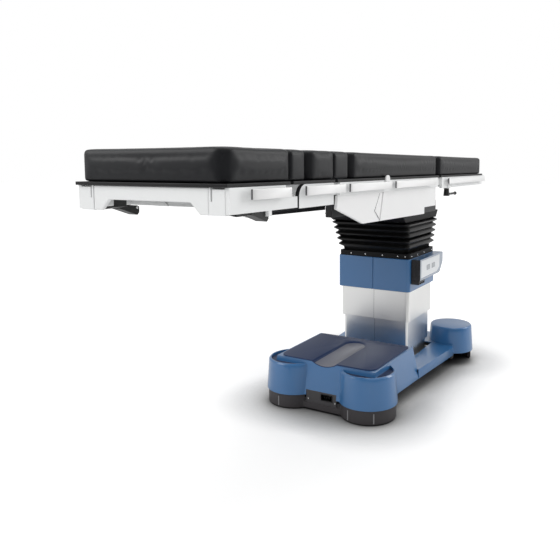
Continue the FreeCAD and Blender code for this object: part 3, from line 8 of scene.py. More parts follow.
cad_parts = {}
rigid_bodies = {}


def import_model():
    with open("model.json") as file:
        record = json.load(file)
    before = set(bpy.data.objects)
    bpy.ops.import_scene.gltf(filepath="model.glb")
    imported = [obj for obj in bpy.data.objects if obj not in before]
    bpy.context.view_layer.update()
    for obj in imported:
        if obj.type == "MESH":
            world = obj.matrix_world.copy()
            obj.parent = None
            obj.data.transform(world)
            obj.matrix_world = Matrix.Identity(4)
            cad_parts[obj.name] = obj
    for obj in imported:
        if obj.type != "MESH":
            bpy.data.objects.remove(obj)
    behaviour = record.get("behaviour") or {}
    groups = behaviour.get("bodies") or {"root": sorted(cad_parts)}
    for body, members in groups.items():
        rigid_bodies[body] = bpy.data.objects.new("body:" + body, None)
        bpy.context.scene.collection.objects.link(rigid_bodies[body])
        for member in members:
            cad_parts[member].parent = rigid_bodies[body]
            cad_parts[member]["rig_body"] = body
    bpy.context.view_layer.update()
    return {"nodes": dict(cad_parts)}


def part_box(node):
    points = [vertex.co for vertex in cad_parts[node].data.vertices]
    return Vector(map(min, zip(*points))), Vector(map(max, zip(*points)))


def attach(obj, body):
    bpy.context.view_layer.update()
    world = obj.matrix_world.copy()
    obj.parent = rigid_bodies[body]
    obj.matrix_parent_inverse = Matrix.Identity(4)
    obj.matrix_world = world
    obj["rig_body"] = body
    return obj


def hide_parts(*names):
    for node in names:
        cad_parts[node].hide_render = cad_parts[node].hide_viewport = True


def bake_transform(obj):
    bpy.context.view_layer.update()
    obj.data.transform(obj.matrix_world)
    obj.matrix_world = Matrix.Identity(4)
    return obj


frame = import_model()
nodes = frame["nodes"]
print("frame loaded:", len(nodes), "nodes")


# camera, as the photograph sees the table
cameraSpot = {"place": (-2.1511, -1.0835, 0.935), "yaw": 29.273, "down": 5.61, "roll": -0.05,
              "lens": 38.28, "sensor": 36.0, "shift": (-0.080, -0.098), "farClip": 60}


def addCamera(spot):
    yaw, down = math.radians(spot["yaw"]), math.radians(spot["down"])
    look = Vector((math.cos(yaw) * math.cos(down), math.sin(yaw) * math.cos(down), -math.sin(down)))
    data = bpy.data.cameras.new("tableCamera")
    data.lens, data.sensor_width = spot["lens"], spot["sensor"]
    data.shift_x, data.shift_y = spot["shift"]
    data.clip_end = spot["farClip"]
    camera = bpy.data.objects.new("tableCamera", data)
    turn = look.to_track_quat("-Z", "Y").to_matrix().to_4x4()
    roll = Matrix.Rotation(math.radians(spot["roll"]), 4, "Z")
    camera.matrix_world = Matrix.Translation(spot["place"]) @ turn @ roll
    bpy.context.scene.collection.objects.link(camera)
    bpy.context.scene.camera = camera


addCamera(cameraSpot)
print("camera placed")


# node groups that several finishes share; bump heights are in metres
texture = {"driftDetail": 4, "grainDetail": 3, "grainBump": 0.0006, "brushDetail": 2, "brushBump": 0.0002,
           "foldDetail": 1, "foldBump": 0.006, "foldStretch": (9, 9, 1.5), "noiseMiddle": 0.5}
numberSocket, colourSocket, vectorSocket = "NodeSocketFloat", "NodeSocketColor", "NodeSocketVector"


def startGroup(name, inputs, outputs):
    group = bpy.data.node_groups.new(name, "ShaderNodeTree")
    for direction, sockets in (("INPUT", inputs), ("OUTPUT", outputs)):
        for label, kind in sockets.items():
            group.interface.new_socket(label, in_out=direction, socket_type=kind)
    return group, group.nodes.new("NodeGroupInput"), group.nodes.new("NodeGroupOutput")


def mathNode(tree, operation, first, second):
    node = tree.nodes.new("ShaderNodeMath")
    node.operation = operation
    for socket, value in zip(node.inputs, (first, second)):
        if isinstance(value, (int, float)):
            socket.default_value = value
        else:
            tree.links.new(value, socket)
    return node.outputs[0]


def noiseNode(tree, detail, vector):
    noise = tree.nodes.new("ShaderNodeTexNoise")
    noise.inputs["Scale"].default_value = 1.0
    noise.inputs["Detail"].default_value = detail
    tree.links.new(vector, noise.inputs["Vector"])
    return noise


def bumpNode(tree, distance, height):
    bump = tree.nodes.new("ShaderNodeBump")
    bump.inputs["Distance"].default_value = distance
    tree.links.new(height, bump.inputs["Height"])
    return bump


def spreadGloss(group, entry, result, centred):
    # roughness that strays from its mean with the noise
    stray = mathNode(group, "MULTIPLY", centred, entry.outputs["Spread"])
    rough = mathNode(group, "ADD", stray, entry.outputs["Roughness"])
    group.links.new(rough, result.inputs["Roughness"])


def makeDriftGroup():
    # slow change of tone and of gloss over a surface, as dust and handling leave it
    group, entry, result = startGroup(
        "toneDrift",
        {"Color": colourSocket, "Amount": numberSocket, "Scale": numberSocket, "Roughness": numberSocket,
         "Spread": numberSocket},
        {"Color": colourSocket, "Roughness": numberSocket})
    place = group.nodes.new("ShaderNodeTexCoord")
    cloud = noiseNode(group, texture["driftDetail"], place.outputs["Object"])
    group.links.new(entry.outputs["Scale"], cloud.inputs["Scale"])
    centred = mathNode(group, "SUBTRACT", cloud.outputs["Fac"], texture["noiseMiddle"])
    shade = mathNode(group, "MULTIPLY", centred, entry.outputs["Amount"])
    bright = mathNode(group, "ADD", shade, 1.0)
    tint = group.nodes.new("ShaderNodeHueSaturation")
    group.links.new(entry.outputs["Color"], tint.inputs["Color"])
    group.links.new(bright, tint.inputs["Value"])
    group.links.new(tint.outputs["Color"], result.inputs["Color"])
    spreadGloss(group, entry, result, centred)
    return group


def makeGrainGroup():
    # fine bumps of moulded plastic, powder coat or upholstery
    group, entry, result = startGroup(
        "surfaceGrain", {"Scale": numberSocket, "Depth": numberSocket, "Cells": numberSocket},
        {"Normal": vectorSocket})
    place = group.nodes.new("ShaderNodeTexCoord")
    noise = noiseNode(group, texture["grainDetail"], place.outputs["Object"])
    cells = group.nodes.new("ShaderNodeTexVoronoi")
    group.links.new(place.outputs["Object"], cells.inputs["Vector"])
    for pattern in (noise, cells):
        group.links.new(entry.outputs["Scale"], pattern.inputs["Scale"])
    pebble = mathNode(group, "MULTIPLY", cells.outputs["Distance"], entry.outputs["Cells"])
    height = mathNode(group, "ADD", noise.outputs["Fac"], pebble)
    bump = bumpNode(group, texture["grainBump"], height)
    group.links.new(entry.outputs["Depth"], bump.inputs["Strength"])
    group.links.new(bump.outputs["Normal"], result.inputs["Normal"])
    return group


def makeBrushGroup():
    # drawn lines of brushed steel along one direction
    group, entry, result = startGroup(
        "brushLines",
        {"Stretch": vectorSocket, "Depth": numberSocket, "Roughness": numberSocket, "Spread": numberSocket},
        {"Normal": vectorSocket, "Roughness": numberSocket})
    place = group.nodes.new("ShaderNodeTexCoord")
    stretch = group.nodes.new("ShaderNodeVectorMath")
    stretch.operation = "MULTIPLY"
    group.links.new(place.outputs["Object"], stretch.inputs[0])
    group.links.new(entry.outputs["Stretch"], stretch.inputs[1])
    lines = noiseNode(group, texture["brushDetail"], stretch.outputs["Vector"])
    bump = bumpNode(group, texture["brushBump"], lines.outputs["Fac"])
    group.links.new(entry.outputs["Depth"], bump.inputs["Strength"])
    group.links.new(bump.outputs["Normal"], result.inputs["Normal"])
    centred = mathNode(group, "SUBTRACT", lines.outputs["Fac"], texture["noiseMiddle"])
    spreadGloss(group, entry, result, centred)
    return group


driftGroup, grainGroup, brushGroup = makeDriftGroup(), makeGrainGroup(), makeBrushGroup()


def useGroup(tree, group, values):
    node = tree.nodes.new("ShaderNodeGroup")
    node.node_tree = group
    for label, value in values.items():
        node.inputs[label].default_value = value
    return node


def addFolds(tree, grainNormal, strength):
    # soft upright folds of a cover drawn over foam
    place = tree.nodes.new("ShaderNodeTexCoord")
    stretch = tree.nodes.new("ShaderNodeMapping")
    stretch.inputs["Scale"].default_value = texture["foldStretch"]
    tree.links.new(place.outputs["Object"], stretch.inputs["Vector"])
    wrinkle = noiseNode(tree, texture["foldDetail"], stretch.outputs["Vector"])
    bump = bumpNode(tree, texture["foldBump"], wrinkle.outputs["Fac"])
    bump.inputs["Strength"].default_value = strength
    tree.links.new(grainNormal, bump.inputs["Normal"])
    return bump.outputs["Normal"]


usualLook = {"metallic": 0.0, "specular": 0.5, "coat": 0.0, "coatRough": 0.1, "drift": 0.06,
             "driftScale": 7.0, "roughSpread": 0.08, "cells": 0.0}


def makeFinish(name, chosen):
    look = {**usualLook, **chosen}
    material = bpy.data.materials.new(name)
    material.use_nodes = True
    tree = material.node_tree
    shader = tree.nodes["Principled BSDF"]
    shader.inputs["Metallic"].default_value = look["metallic"]
    shader.inputs["Specular IOR Level"].default_value = look["specular"]
    shader.inputs["Coat Weight"].default_value = look["coat"]
    shader.inputs["Coat Roughness"].default_value = look["coatRough"]
    drift = useGroup(tree, driftGroup, {"Color": (*look["colour"], 1), "Amount": look["drift"],
                                        "Scale": look["driftScale"], "Roughness": look["rough"],
                                        "Spread": look["roughSpread"]})
    tree.links.new(drift.outputs["Color"], shader.inputs["Base Color"])
    if "brush" in look:
        lines = useGroup(tree, brushGroup, {"Stretch": look["brush"], "Depth": look["depth"],
                                            "Roughness": look["rough"], "Spread": look["roughSpread"]})
        tree.links.new(lines.outputs["Roughness"], shader.inputs["Roughness"])
        tree.links.new(lines.outputs["Normal"], shader.inputs["Normal"])
        return material
    tree.links.new(drift.outputs["Roughness"], shader.inputs["Roughness"])
    grain = useGroup(tree, grainGroup, {"Scale": look["grainScale"], "Depth": look["depth"],
                                        "Cells": look["cells"]})
    normal = grain.outputs["Normal"]
    if "folds" in look:
        normal = addFolds(tree, normal, look["folds"])
    tree.links.new(normal, shader.inputs["Normal"])
    return material


finishLooks = {
    "padCover": {"colour": (0.0105, 0.0110, 0.0130), "rough": 0.45, "specular": 0.34, "grainScale": 650,
                 "depth": 0.12, "cells": 0.6, "drift": 0.25, "driftScale": 3.0, "folds": 0.20},
    "boardEdge": {"colour": (0.013, 0.013, 0.014), "rough": 0.42, "specular": 0.3, "grainScale": 900,
                  "depth": 0.05},
    "frameCoat": {"colour": (0.80, 0.81, 0.81), "rough": 0.34, "grainScale": 900, "depth": 0.05,
                  "drift": 0.02},
    "railSteel": {"colour": (0.88, 0.88, 0.88), "rough": 0.42, "metallic": 0.45, "brush": (5, 900, 900),
                  "depth": 0.02, "roughSpread": 0.06},
    # painted dark reflection on the rail ends
    "railEnd": {"colour": (0.20, 0.20, 0.21), "rough": 0.36, "metallic": 0.8, "grainScale": 900,
                "depth": 0.04},
    "coverPlastic": {"colour": (0.84, 0.84, 0.84), "rough": 0.38, "grainScale": 1100, "depth": 0.05,
                     "drift": 0.02},
    # dark coat of the real dark parts, also used as painted shade on the inner frame and inside the rear
    # covers
    "darkCoatAndPaintedShade": {"colour": (0.022, 0.022, 0.025), "rough": 0.42, "grainScale": 800, "depth": 0.08},
    "headCoat": {"colour": (0.007, 0.007, 0.008), "rough": 0.55, "specular": 0.2, "grainScale": 800,
                 "depth": 0.06},
    "leverPlastic": {"colour": (0.018, 0.018, 0.018), "rough": 0.45, "grainScale": 700, "depth": 0.12},
    "bellowsRubber": {"colour": (0.007, 0.007, 0.007), "rough": 0.30, "specular": 0.22, "grainScale": 300,
                      "depth": 0.08},
    "columnSteel": {"colour": (0.88, 0.88, 0.87), "rough": 0.34, "metallic": 1.0, "brush": (900, 900, 5),
                    "depth": 0.008, "roughSpread": 0.04},
    "seamSteel": {"colour": (0.30, 0.30, 0.30), "rough": 0.5, "metallic": 0.8, "grainScale": 900,
                  "depth": 0.04},
    "bluePlastic": {"colour": (0.034, 0.140, 0.330), "rough": 0.34, "grainScale": 900, "depth": 0.06,
                    "drift": 0.05, "coat": 0.75, "coatRough": 0.16},
    "housingPlastic": {"colour": (0.012, 0.012, 0.016), "rough": 0.40, "grainScale": 900, "depth": 0.10},
    "housingGrey": {"colour": (0.36, 0.40, 0.46), "rough": 0.38, "grainScale": 900, "depth": 0.06},
    "panelSilver": {"colour": (0.76, 0.78, 0.80), "rough": 0.30, "metallic": 0.5, "grainScale": 1200,
                    "depth": 0.05},
    "keyRubber": {"colour": (0.42, 0.44, 0.46), "rough": 0.50, "grainScale": 900, "depth": 0.10},
    # the deck's own dark plastic, also used as painted shade in the near pods' recesses
    "deckPlasticAndPaintedShade": {"colour": (0.024, 0.040, 0.098), "rough": 0.42, "specular": 0.22, "grainScale": 800,
                    "depth": 0.06},
    # painted reflection: lighter grey on the trough floor, with a strong tone drift
    "troughPaintedReflection": {"colour": (0.15, 0.155, 0.19), "rough": 0.40, "grainScale": 800, "depth": 0.06,
                   "drift": 0.3},
    "skirtPlastic": {"colour": (0.044, 0.040, 0.043), "rough": 0.50, "grainScale": 600, "depth": 0.12},
    "skirtSeam": {"colour": (0.22, 0.22, 0.23), "rough": 0.50, "grainScale": 600, "depth": 0.08},
    "footRubber": {"colour": (0.015, 0.015, 0.015), "rough": 0.70, "grainScale": 500, "depth": 0.15},
    "chassisCoat": {"colour": (0.022, 0.022, 0.024), "rough": 0.55, "grainScale": 500, "depth": 0.15},
    "wheelRubber": {"colour": (0.10, 0.10, 0.10), "rough": 0.60, "grainScale": 600, "depth": 0.12},
    "socketPlastic": {"colour": (0.052, 0.050, 0.053), "rough": 0.42, "grainScale": 900, "depth": 0.08},
    "inletPlastic": {"colour": (0.008, 0.008, 0.008), "rough": 0.40, "grainScale": 900, "depth": 0.08},
    "screwSteel": {"colour": (0.80, 0.80, 0.80), "rough": 0.25, "metallic": 1.0, "brush": (300, 300, 300),
                   "depth": 0.05, "roughSpread": 0.15},
}
finishes = {name: makeFinish(name, look) for name, look in finishLooks.items()}
print("finishes made:", len(finishes))


# helpers that turn a bmesh or a CAD node into a finished piece; angles are in degrees
meshCare = {"weld": 1e-5, "flatAngle": 0.4, "smoothAngle": 40, "bevelAngle": 35, "bevelSegments": 2}


def camelName(nodeName):
    first, *rest = nodeName.split("_")
    return first + "".join(word.capitalize() for word in rest)


def link(name, bm):
    mesh = bpy.data.meshes.new(name)
    bm.to_mesh(mesh)
    bm.free()
    piece = bpy.data.objects.new(name, mesh)
    bpy.context.scene.collection.objects.link(piece)
    return piece


def coat(piece, finish):
    piece.data.materials.clear()
    piece.data.materials.append(finishes[finish])
    for face in piece.data.polygons:
        face.material_index = 0


def smoothShade(piece, angle=meshCare["smoothAngle"]):
    for face in piece.data.polygons:
        face.use_smooth = True
    piece.data.set_sharp_from_angle(angle=math.radians(angle))


def mergedCopy(nodeName):
    bm = bmesh.new()
    bm.from_mesh(nodes[nodeName].data)
    bmesh.ops.remove_doubles(bm, verts=bm.verts, dist=meshCare["weld"])
    bmesh.ops.dissolve_limit(bm, angle_limit=math.radians(meshCare["flatAngle"]), verts=bm.verts,
                             edges=bm.edges)
    return bm


def addBevel(piece, width):
    bevel = piece.modifiers.new("edgeRound", "BEVEL")
    bevel.width, bevel.segments = width, meshCare["bevelSegments"]
    bevel.limit_method, bevel.angle_limit = "ANGLE", math.radians(meshCare["bevelAngle"])
    bevel.harden_normals = True
    bevel.use_clamp_overlap = True


# drawn seam down the middle of the column tubes' front and back
seam = {"width": 0.0014, "depth": 0.0010, "reach": 1e-4,
        "nodes": ("outer_column", "middle_column", "inner_column")}


def grooveMiddle(bm):
    for side in (-seam["width"] / 2, seam["width"] / 2):
        bmesh.ops.bisect_plane(bm, geom=bm.verts[:] + bm.edges[:] + bm.faces[:],
                               plane_co=(0, side, 0), plane_no=(0, 1, 0))
    for end, way in ((min(vert.co.x for vert in bm.verts), 1), (max(vert.co.x for vert in bm.verts), -1)):
        strip = [face for face in bm.faces if abs(face.calc_center_median().y) < seam["width"] / 2
                 and abs(face.calc_center_median().x - end) < seam["reach"]]
        made = bmesh.ops.extrude_face_region(bm, geom=strip)["geom"]
        sunk = [part for part in made if isinstance(part, bmesh.types.BMVert)]
        bmesh.ops.translate(bm, vec=(way * seam["depth"], 0, 0), verts=sunk)


def dress(nodeName, pieceName, finish, width):
    bm = mergedCopy(nodeName)
    if nodeName in seam["nodes"]:
        grooveMiddle(bm)
    piece = link(pieceName, bm)
    coat(piece, finish)
    smoothShade(piece)
    addBevel(piece, width)
    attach(piece, nodes[nodeName]["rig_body"])
    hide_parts(nodeName)
    return piece


# rigid pieces: node, finish, edge radius in metres
rigidPieces = [
    ("outer_board", "boardEdge", 0.0015), ("inner_board", "boardEdge", 0.0015),
    ("seat_board", "boardEdge", 0.0015), ("far_board", "boardEdge", 0.0015),
    ("outer_side_rails", "railSteel", 0.0012), ("inner_side_rails", "railSteel", 0.0012),
    ("seat_side_rails", "railSteel", 0.0012), ("far_side_rails", "railSteel", 0.0012),
    ("outer_frame", "frameCoat", 0.002), ("inner_frame", "frameCoat", 0.002),
    ("seat_frame", "frameCoat", 0.002), ("far_frame", "frameCoat", 0.002),
    ("end_panel", "frameCoat", 0.003), ("corner_brackets", "frameCoat", 0.002),
    ("index_tabs", "coverPlastic", 0.0015), ("front_covers", "coverPlastic", 0.0015),
    ("rear_covers", "coverPlastic", 0.0015), ("slide_rails", "darkCoatAndPaintedShade", 0.001),
    ("slide_carriage", "darkCoatAndPaintedShade", 0.003), ("tilt_head", "headCoat", 0.004),
    ("tilt_cross", "darkCoatAndPaintedShade", 0.002), ("column_cap", "darkCoatAndPaintedShade", 0.001),
    ("bellows_strip", "headCoat", 0.002),
    ("release_lever_left", "leverPlastic", 0.0025), ("release_lever_right", "leverPlastic", 0.0025),
    ("clamp_lever_left", "leverPlastic", 0.0015), ("clamp_lever_right", "leverPlastic", 0.0015),
    ("outer_column", "columnSteel", 0.001), ("middle_column", "columnSteel", 0.001),
    ("inner_column", "columnSteel", 0.001), ("collar_left", "bluePlastic", 0.003),
    ("collar_right", "bluePlastic", 0.003), ("control_housing", "housingPlastic", 0.003),
    ("key_panel", "panelSilver", 0.0012), ("lift_key", "keyRubber", 0.002),
    ("lower_key", "keyRubber", 0.002), ("housing_bracket", "housingPlastic", 0.0015),
    ("base_cover", "bluePlastic", 0.004), ("deck_panel", "deckPlasticAndPaintedShade", 0.002),
    ("base_skirt", "skirtPlastic", 0.003), ("foot_pads", "footRubber", 0.001),
    ("chassis", "chassisCoat", 0.001), ("caster_carrier", "chassisCoat", 0.001),
    ("socket_panel", "socketPlastic", 0.001), ("mains_inlet", "inletPlastic", 0.0004),
]
for corner in ("near_left", "near_right", "far_left", "far_right"):
    rigidPieces.append((f"caster_fork_{corner}", "railSteel", 0.001))
    rigidPieces.append((f"caster_wheels_{corner}", "wheelRubber", 0.004))
# a node of one word would share its name with its piece
otherNames = {"chassis": "chassisPlate"}
dressed = {nodeName: dress(nodeName, otherNames.get(nodeName, camelName(nodeName)), finish, width)
           for nodeName, finish, width in rigidPieces}


# faces of a second colour: limits of normals as cosines, of places in metres
paint = {"upward": 0.3, "front": -0.7, "railEnd": 0.5, "frameEnd": -0.25, "frameSide": 0.2, "flat": 0.9,
         "troughSink": 0.006, "podShadeLow": 0.160, "podShadeHigh": 0.1755, "inward": -0.1}


def paintFaces(nodeName, finish, chosen):
    piece = dressed[nodeName]
    piece.data.materials.append(finishes[finish])
    last = len(piece.data.materials) - 1
    for face in piece.data.polygons:
        if chosen(face.normal, face.center):
            face.material_index = last


paintFaces("control_housing", "bluePlastic", lambda normal, spot: normal.z > paint["upward"])
paintFaces("control_housing", "housingGrey", lambda normal, spot: normal.y < paint["front"])
# painted dark reflection: the rails' end faces get a darker steel colour
for nodeName in ("outer_side_rails", "inner_side_rails", "seat_side_rails", "far_side_rails"):
    paintFaces(nodeName, "railEnd", lambda normal, spot: abs(normal.x) > paint["railEnd"])
for nodeName in seam["nodes"]:
    paintFaces(nodeName, "seamSteel", lambda normal, spot: abs(spot.y) < seam["width"] / 2)
# painted shade: the inner frame's side faces toward the near end, across the hinge gap, get the dark finish
paintFaces("inner_frame", "darkCoatAndPaintedShade",
           lambda normal, spot: normal.x < paint["frameEnd"] and abs(spot.y) > paint["frameSide"])
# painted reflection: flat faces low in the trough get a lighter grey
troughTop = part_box("deck_panel")[1].z - paint["troughSink"]
paintFaces("deck_panel", "troughPaintedReflection", lambda normal, spot: normal.z > paint["flat"] and spot.z < troughTop)
# painted shade: the flat floors of the near pods' top recesses get the dark deck colour
paintFaces("base_cover", "deckPlasticAndPaintedShade",
           lambda normal, spot: normal.z > paint["flat"] and paint["podShadeLow"] < spot.z < paint["podShadeHigh"]
           and spot.x < 0)
# painted shade: the rear covers' faces turned toward the middle get the dark finish
paintFaces("rear_covers", "darkCoatAndPaintedShade", lambda normal, spot: normal.y * spot.y < paint["inward"])
print("rigid pieces dressed:", len(dressed))


# small parts that only the scene has: each is one bmesh, sunk a little into what carries it
def finishSmall(bm, pieceName, finish, body, edge):
    bmesh.ops.recalc_face_normals(bm, faces=bm.faces)
    piece = link(pieceName, bm)
    piece.data.materials.append(finishes[finish])
    smoothShade(piece)
    if edge:
        addBevel(piece, edge)
    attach(piece, body)


def addBlock(bm, low, high):
    made = bmesh.ops.create_cube(bm, size=1.0)["verts"]
    low, high = Vector(low), Vector(high)
    bmesh.ops.scale(bm, vec=high - low, verts=made)
    bmesh.ops.translate(bm, vec=(low + high) / 2, verts=made)
    return made


# wedges that carry the release levers, behind the end panel; the second mirrors the first
wedge = {"low": (-1.060, 0.161, 0.829), "high": (-1.018, 0.2385, 0.851), "slope": 0.010, "edge": 0.0012}
bm = bmesh.new()
corners = addBlock(bm, wedge["low"], wedge["high"])
centre = (Vector(wedge["low"]) + Vector(wedge["high"])) / 2
outside = [vert for vert in corners if vert.co.y > centre.y and vert.co.z < centre.z]
bmesh.ops.translate(bm, vec=(0, 0, -wedge["slope"]), verts=outside)
mirrored = bmesh.ops.duplicate(bm, geom=bm.verts[:] + bm.edges[:] + bm.faces[:])["geom"]
bmesh.ops.scale(bm, vec=(1, -1, 1), verts=[part for part in mirrored if isinstance(part, bmesh.types.BMVert)])
finishSmall(bm, "leverWedges", "leverPlastic", "outer_section", wedge["edge"])

# upright ribs on the control housing's near end
ribs = {"count": 6, "width": 0.0035, "proud": 0.0019, "sunk": 0.0004, "margin": 0.008, "start": 0.004,
        "spare": 0.006, "edge": 0.0006}
low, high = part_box("control_housing")
bm = bmesh.new()
pitch = (high.y - low.y - ribs["spare"]) / ribs["count"]
for number in range(ribs["count"]):
    y = low.y + ribs["start"] + pitch * (number + 0.5)
    addBlock(bm, (low.x - ribs["proud"], y - ribs["width"] / 2, low.z + ribs["margin"]),
             (low.x + ribs["sunk"], y + ribs["width"] / 2, high.z - ribs["margin"]))
finishSmall(bm, "housingRibs", "housingPlastic", "column_head", ribs["edge"])

# dark joint lines of the insert between the front and rear side covers
coverLine = {"points": ((-0.256, 0.843), (-0.299, 0.784), (-0.256, 0.752)), "face": 0.240,
             "width": 0.0016, "proud": 0.0004}
bm = bmesh.new()
for side in (-1, 1):
    for (x1, z1), (x2, z2) in zip(coverLine["points"], coverLine["points"][1:]):
        length = math.hypot(x2 - x1, z2 - z1)
        turn = Matrix.Rotation(-math.atan2(z2 - z1, x2 - x1), 3, "Y")
        made = addBlock(bm, (-length / 2, -coverLine["proud"], -coverLine["width"] / 2),
                        (length / 2, coverLine["proud"], coverLine["width"] / 2))
        bmesh.ops.rotate(bm, cent=(0, 0, 0), matrix=turn, verts=made)
        bmesh.ops.translate(bm, vec=((x1 + x2) / 2, side * coverLine["face"], (z1 + z2) / 2), verts=made)
finishSmall(bm, "coverLines", "darkCoatAndPaintedShade", "seat", 0)

# light joints of the near pods' skirts, by side and angle round each pod
joints = {"middle": (-0.182, 0.162), "window": 8, "podReach": 0.11, "width": 0.0045, "deep": 0.0016,
          "above": 0.003, "below": 0.012, "edge": 0.0004, "angles": ((-1, (159, 219)), (1, (174,)))}


def skirtRadius(middle, angle):
    # how far out the skirt wall stands in this direction from a pod's middle
    reach = []
    for vert in nodes["base_skirt"].data.vertices:
        spoke = Vector((vert.co.x - middle[0], vert.co.y - middle[1]))
        turned = (math.degrees(math.atan2(spoke.y, spoke.x)) - angle + 180) % 360 - 180
        if abs(turned) < joints["window"] and spoke.length < joints["podReach"]:
            reach.append(spoke.length)
    return max(reach)


low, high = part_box("base_skirt")
bm = bmesh.new()
for side, angles in joints["angles"]:
    middle = (joints["middle"][0], joints["middle"][1] * side)
    for angle in angles:
        turn = Matrix.Rotation(math.radians(angle), 3, "Z")
        made = addBlock(bm, (0, -joints["width"] / 2, low.z + joints["above"]),
                        (joints["deep"], joints["width"] / 2, high.z - joints["below"]))
        bmesh.ops.translate(bm, vec=(skirtRadius(middle, angle) - joints["deep"] / 2, 0, 0), verts=made)
        bmesh.ops.rotate(bm, cent=(0, 0, 0), matrix=turn, verts=made)
        bmesh.ops.translate(bm, vec=(*middle, 0), verts=made)
finishSmall(bm, "skirtJoints", "skirtSeam", "base", joints["edge"])

# screws: low round heads with a sunk middle
screw = {"radius": 0.0034, "taper": 0.86, "sides": 18, "height": 0.0018, "recess": 0.0008, "inset": 0.0014,
         "frontRow": (0.109, 0.039, -0.043, -0.115, -0.150), "sideRow": (0.246, 0.320, 0.400, 0.500),
         "panelRow": (0.060, -0.056), "panelHeight": 0.0465}


def addScrew(bm, spot, outward):
    way = Vector(outward)
    turn = way.to_track_quat("Z", "Y").to_matrix().to_4x4()
    made = bmesh.ops.create_cone(bm, cap_ends=True, segments=screw["sides"], radius1=screw["radius"],
                                 radius2=screw["radius"] * screw["taper"], depth=screw["height"],
                                 matrix=Matrix.Translation(spot) @ turn)["verts"]
    faces = {face for vert in made for face in vert.link_faces}
    top = max(faces, key=lambda face: face.calc_center_median().dot(way))
    bmesh.ops.inset_region(bm, faces=[top], thickness=screw["inset"])
    bmesh.ops.translate(bm, vec=-way * screw["recess"], verts=top.verts[:])


low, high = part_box("bellows_strip")
middle = (low.z + high.z) / 2
bm = bmesh.new()
for y in screw["frontRow"]:
    addScrew(bm, (low.x, y, middle), (-1, 0, 0))
    addScrew(bm, (high.x, y, middle), (1, 0, 0))
for x in screw["sideRow"]:
    addScrew(bm, (x, low.y, middle), (0, -1, 0))
    addScrew(bm, (x, high.y, middle), (0, 1, 0))
finishSmall(bm, "stripScrews", "screwSteel", "column_head", 0)
low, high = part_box("socket_panel")
bm = bmesh.new()
for y in screw["panelRow"]:
    addScrew(bm, (low.x, y, screw["panelHeight"]), (-1, 0, 0))
finishSmall(bm, "panelScrews", "screwSteel", "base", 0)
print("small parts added")


# cushions: dense moulded foam, simulated with a little air inside
cushion = {"inset": 0.0010, "voxel": 0.0060, "pressure": 4.0, "tension": 25, "bending": 6, "frames": 14,
           "cap": 0.0020, "rise": 0.0003, "softLevels": 1, "fill": 0.95}


def inflate(piece):
    rest = [vert.co.copy() for vert in piece.data.vertices]
    cloth = piece.modifiers.new("foamSwell", "CLOTH")
    cloth.settings.use_pressure = True
    cloth.settings.uniform_pressure_force = cushion["pressure"]
    cloth.settings.effector_weights.gravity = 0
    cloth.settings.tension_stiffness = cushion["tension"]
    cloth.settings.bending_stiffness = cushion["bending"]
    scene = bpy.context.scene
    for step in range(1, cushion["frames"] + 1):
        scene.frame_set(step)
    grown = piece.evaluated_get(bpy.context.evaluated_depsgraph_get())
    moved = [vert.co.copy() for vert in grown.data.vertices]
    piece.modifiers.remove(cloth)
    for vert, start, end in zip(piece.data.vertices, rest, moved):
        shift = end - start
        if shift.length > cushion["cap"]:
            shift *= cushion["cap"] / shift.length
        vert.co = start + shift
    scene.frame_set(1)


def makeCushion(nodeName):
    low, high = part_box(nodeName)
    bm = mergedCopy(nodeName)
    centre = (low + high) / 2
    shrink = [1 - 2 * cushion["inset"] / (high[i] - low[i]) for i in range(3)]
    bmesh.ops.translate(bm, vec=-centre, verts=bm.verts)
    bmesh.ops.scale(bm, vec=shrink, verts=bm.verts)
    bmesh.ops.translate(bm, vec=centre, verts=bm.verts)
    piece = link(camelName(nodeName), bm)
    remesh = piece.modifiers.new("evenMesh", "REMESH")
    remesh.mode, remesh.voxel_size = "VOXEL", cushion["voxel"]
    evaluated = piece.evaluated_get(bpy.context.evaluated_depsgraph_get())
    piece.data = bpy.data.meshes.new_from_object(evaluated)
    piece.modifiers.clear()
    inflate(piece)
    bm = bmesh.new()
    bm.from_mesh(piece.data)
    for vert in bm.verts:
        vert.co.z = max(vert.co.z, low.z + cushion["rise"])
    bm.to_mesh(piece.data)
    bm.free()
    coat(piece, "padCover")
    for face in piece.data.polygons:
        face.use_smooth = True
    soften = piece.modifiers.new("soften", "SUBSURF")
    soften.levels = soften.render_levels = cushion["softLevels"]
    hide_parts(nodeName)
    print("cushion made:", piece.name)
    return piece


for nodeName in ("outer_pad", "inner_pad", "seat_pad", "far_pad"):
    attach(makeCushion(nodeName), nodes[nodeName]["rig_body"])
for nodeName, still, moving in (("outer_bridge_pad", "inner_section", "outer_section"),
                                ("inner_bridge_pad", "seat", "inner_section")):
    low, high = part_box(nodeName)
    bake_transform(makeCushion(nodeName))
print("bridge pads made")


# bellows: pleats with round corners, in two rings of folds that meet at the tilt axes
bellows = {"foot": 0.5512, "meet": 0.6275, "head": 0.6996, "columnX": 0.376, "slack": 0.001,
           "tips": (0.590, 0.615, 0.640, 0.665, 0.690), "low": (0.165, 0.166, 0.168),
           "high": (0.220, 0.174, 0.186), "fold": 0.015, "valleyDrop": 0.0125, "tipHalf": 0.0022,
           "tipCut": 0.0008, "corner": 0.026, "cornerSegments": 6, "smoothAngle": 60, "wall": 0.0016}


def bellowsLevels():
    # height and inward cut of each ring
    levels = [(bellows["foot"], bellows["fold"])]
    for tip in bellows["tips"]:
        levels += [(tip - bellows["valleyDrop"], bellows["fold"]),
                   (tip - bellows["tipHalf"], bellows["tipCut"]),
                   (tip + bellows["tipHalf"], bellows["tipCut"])]
    levels.append((bellows["head"], bellows["fold"]))
    return levels


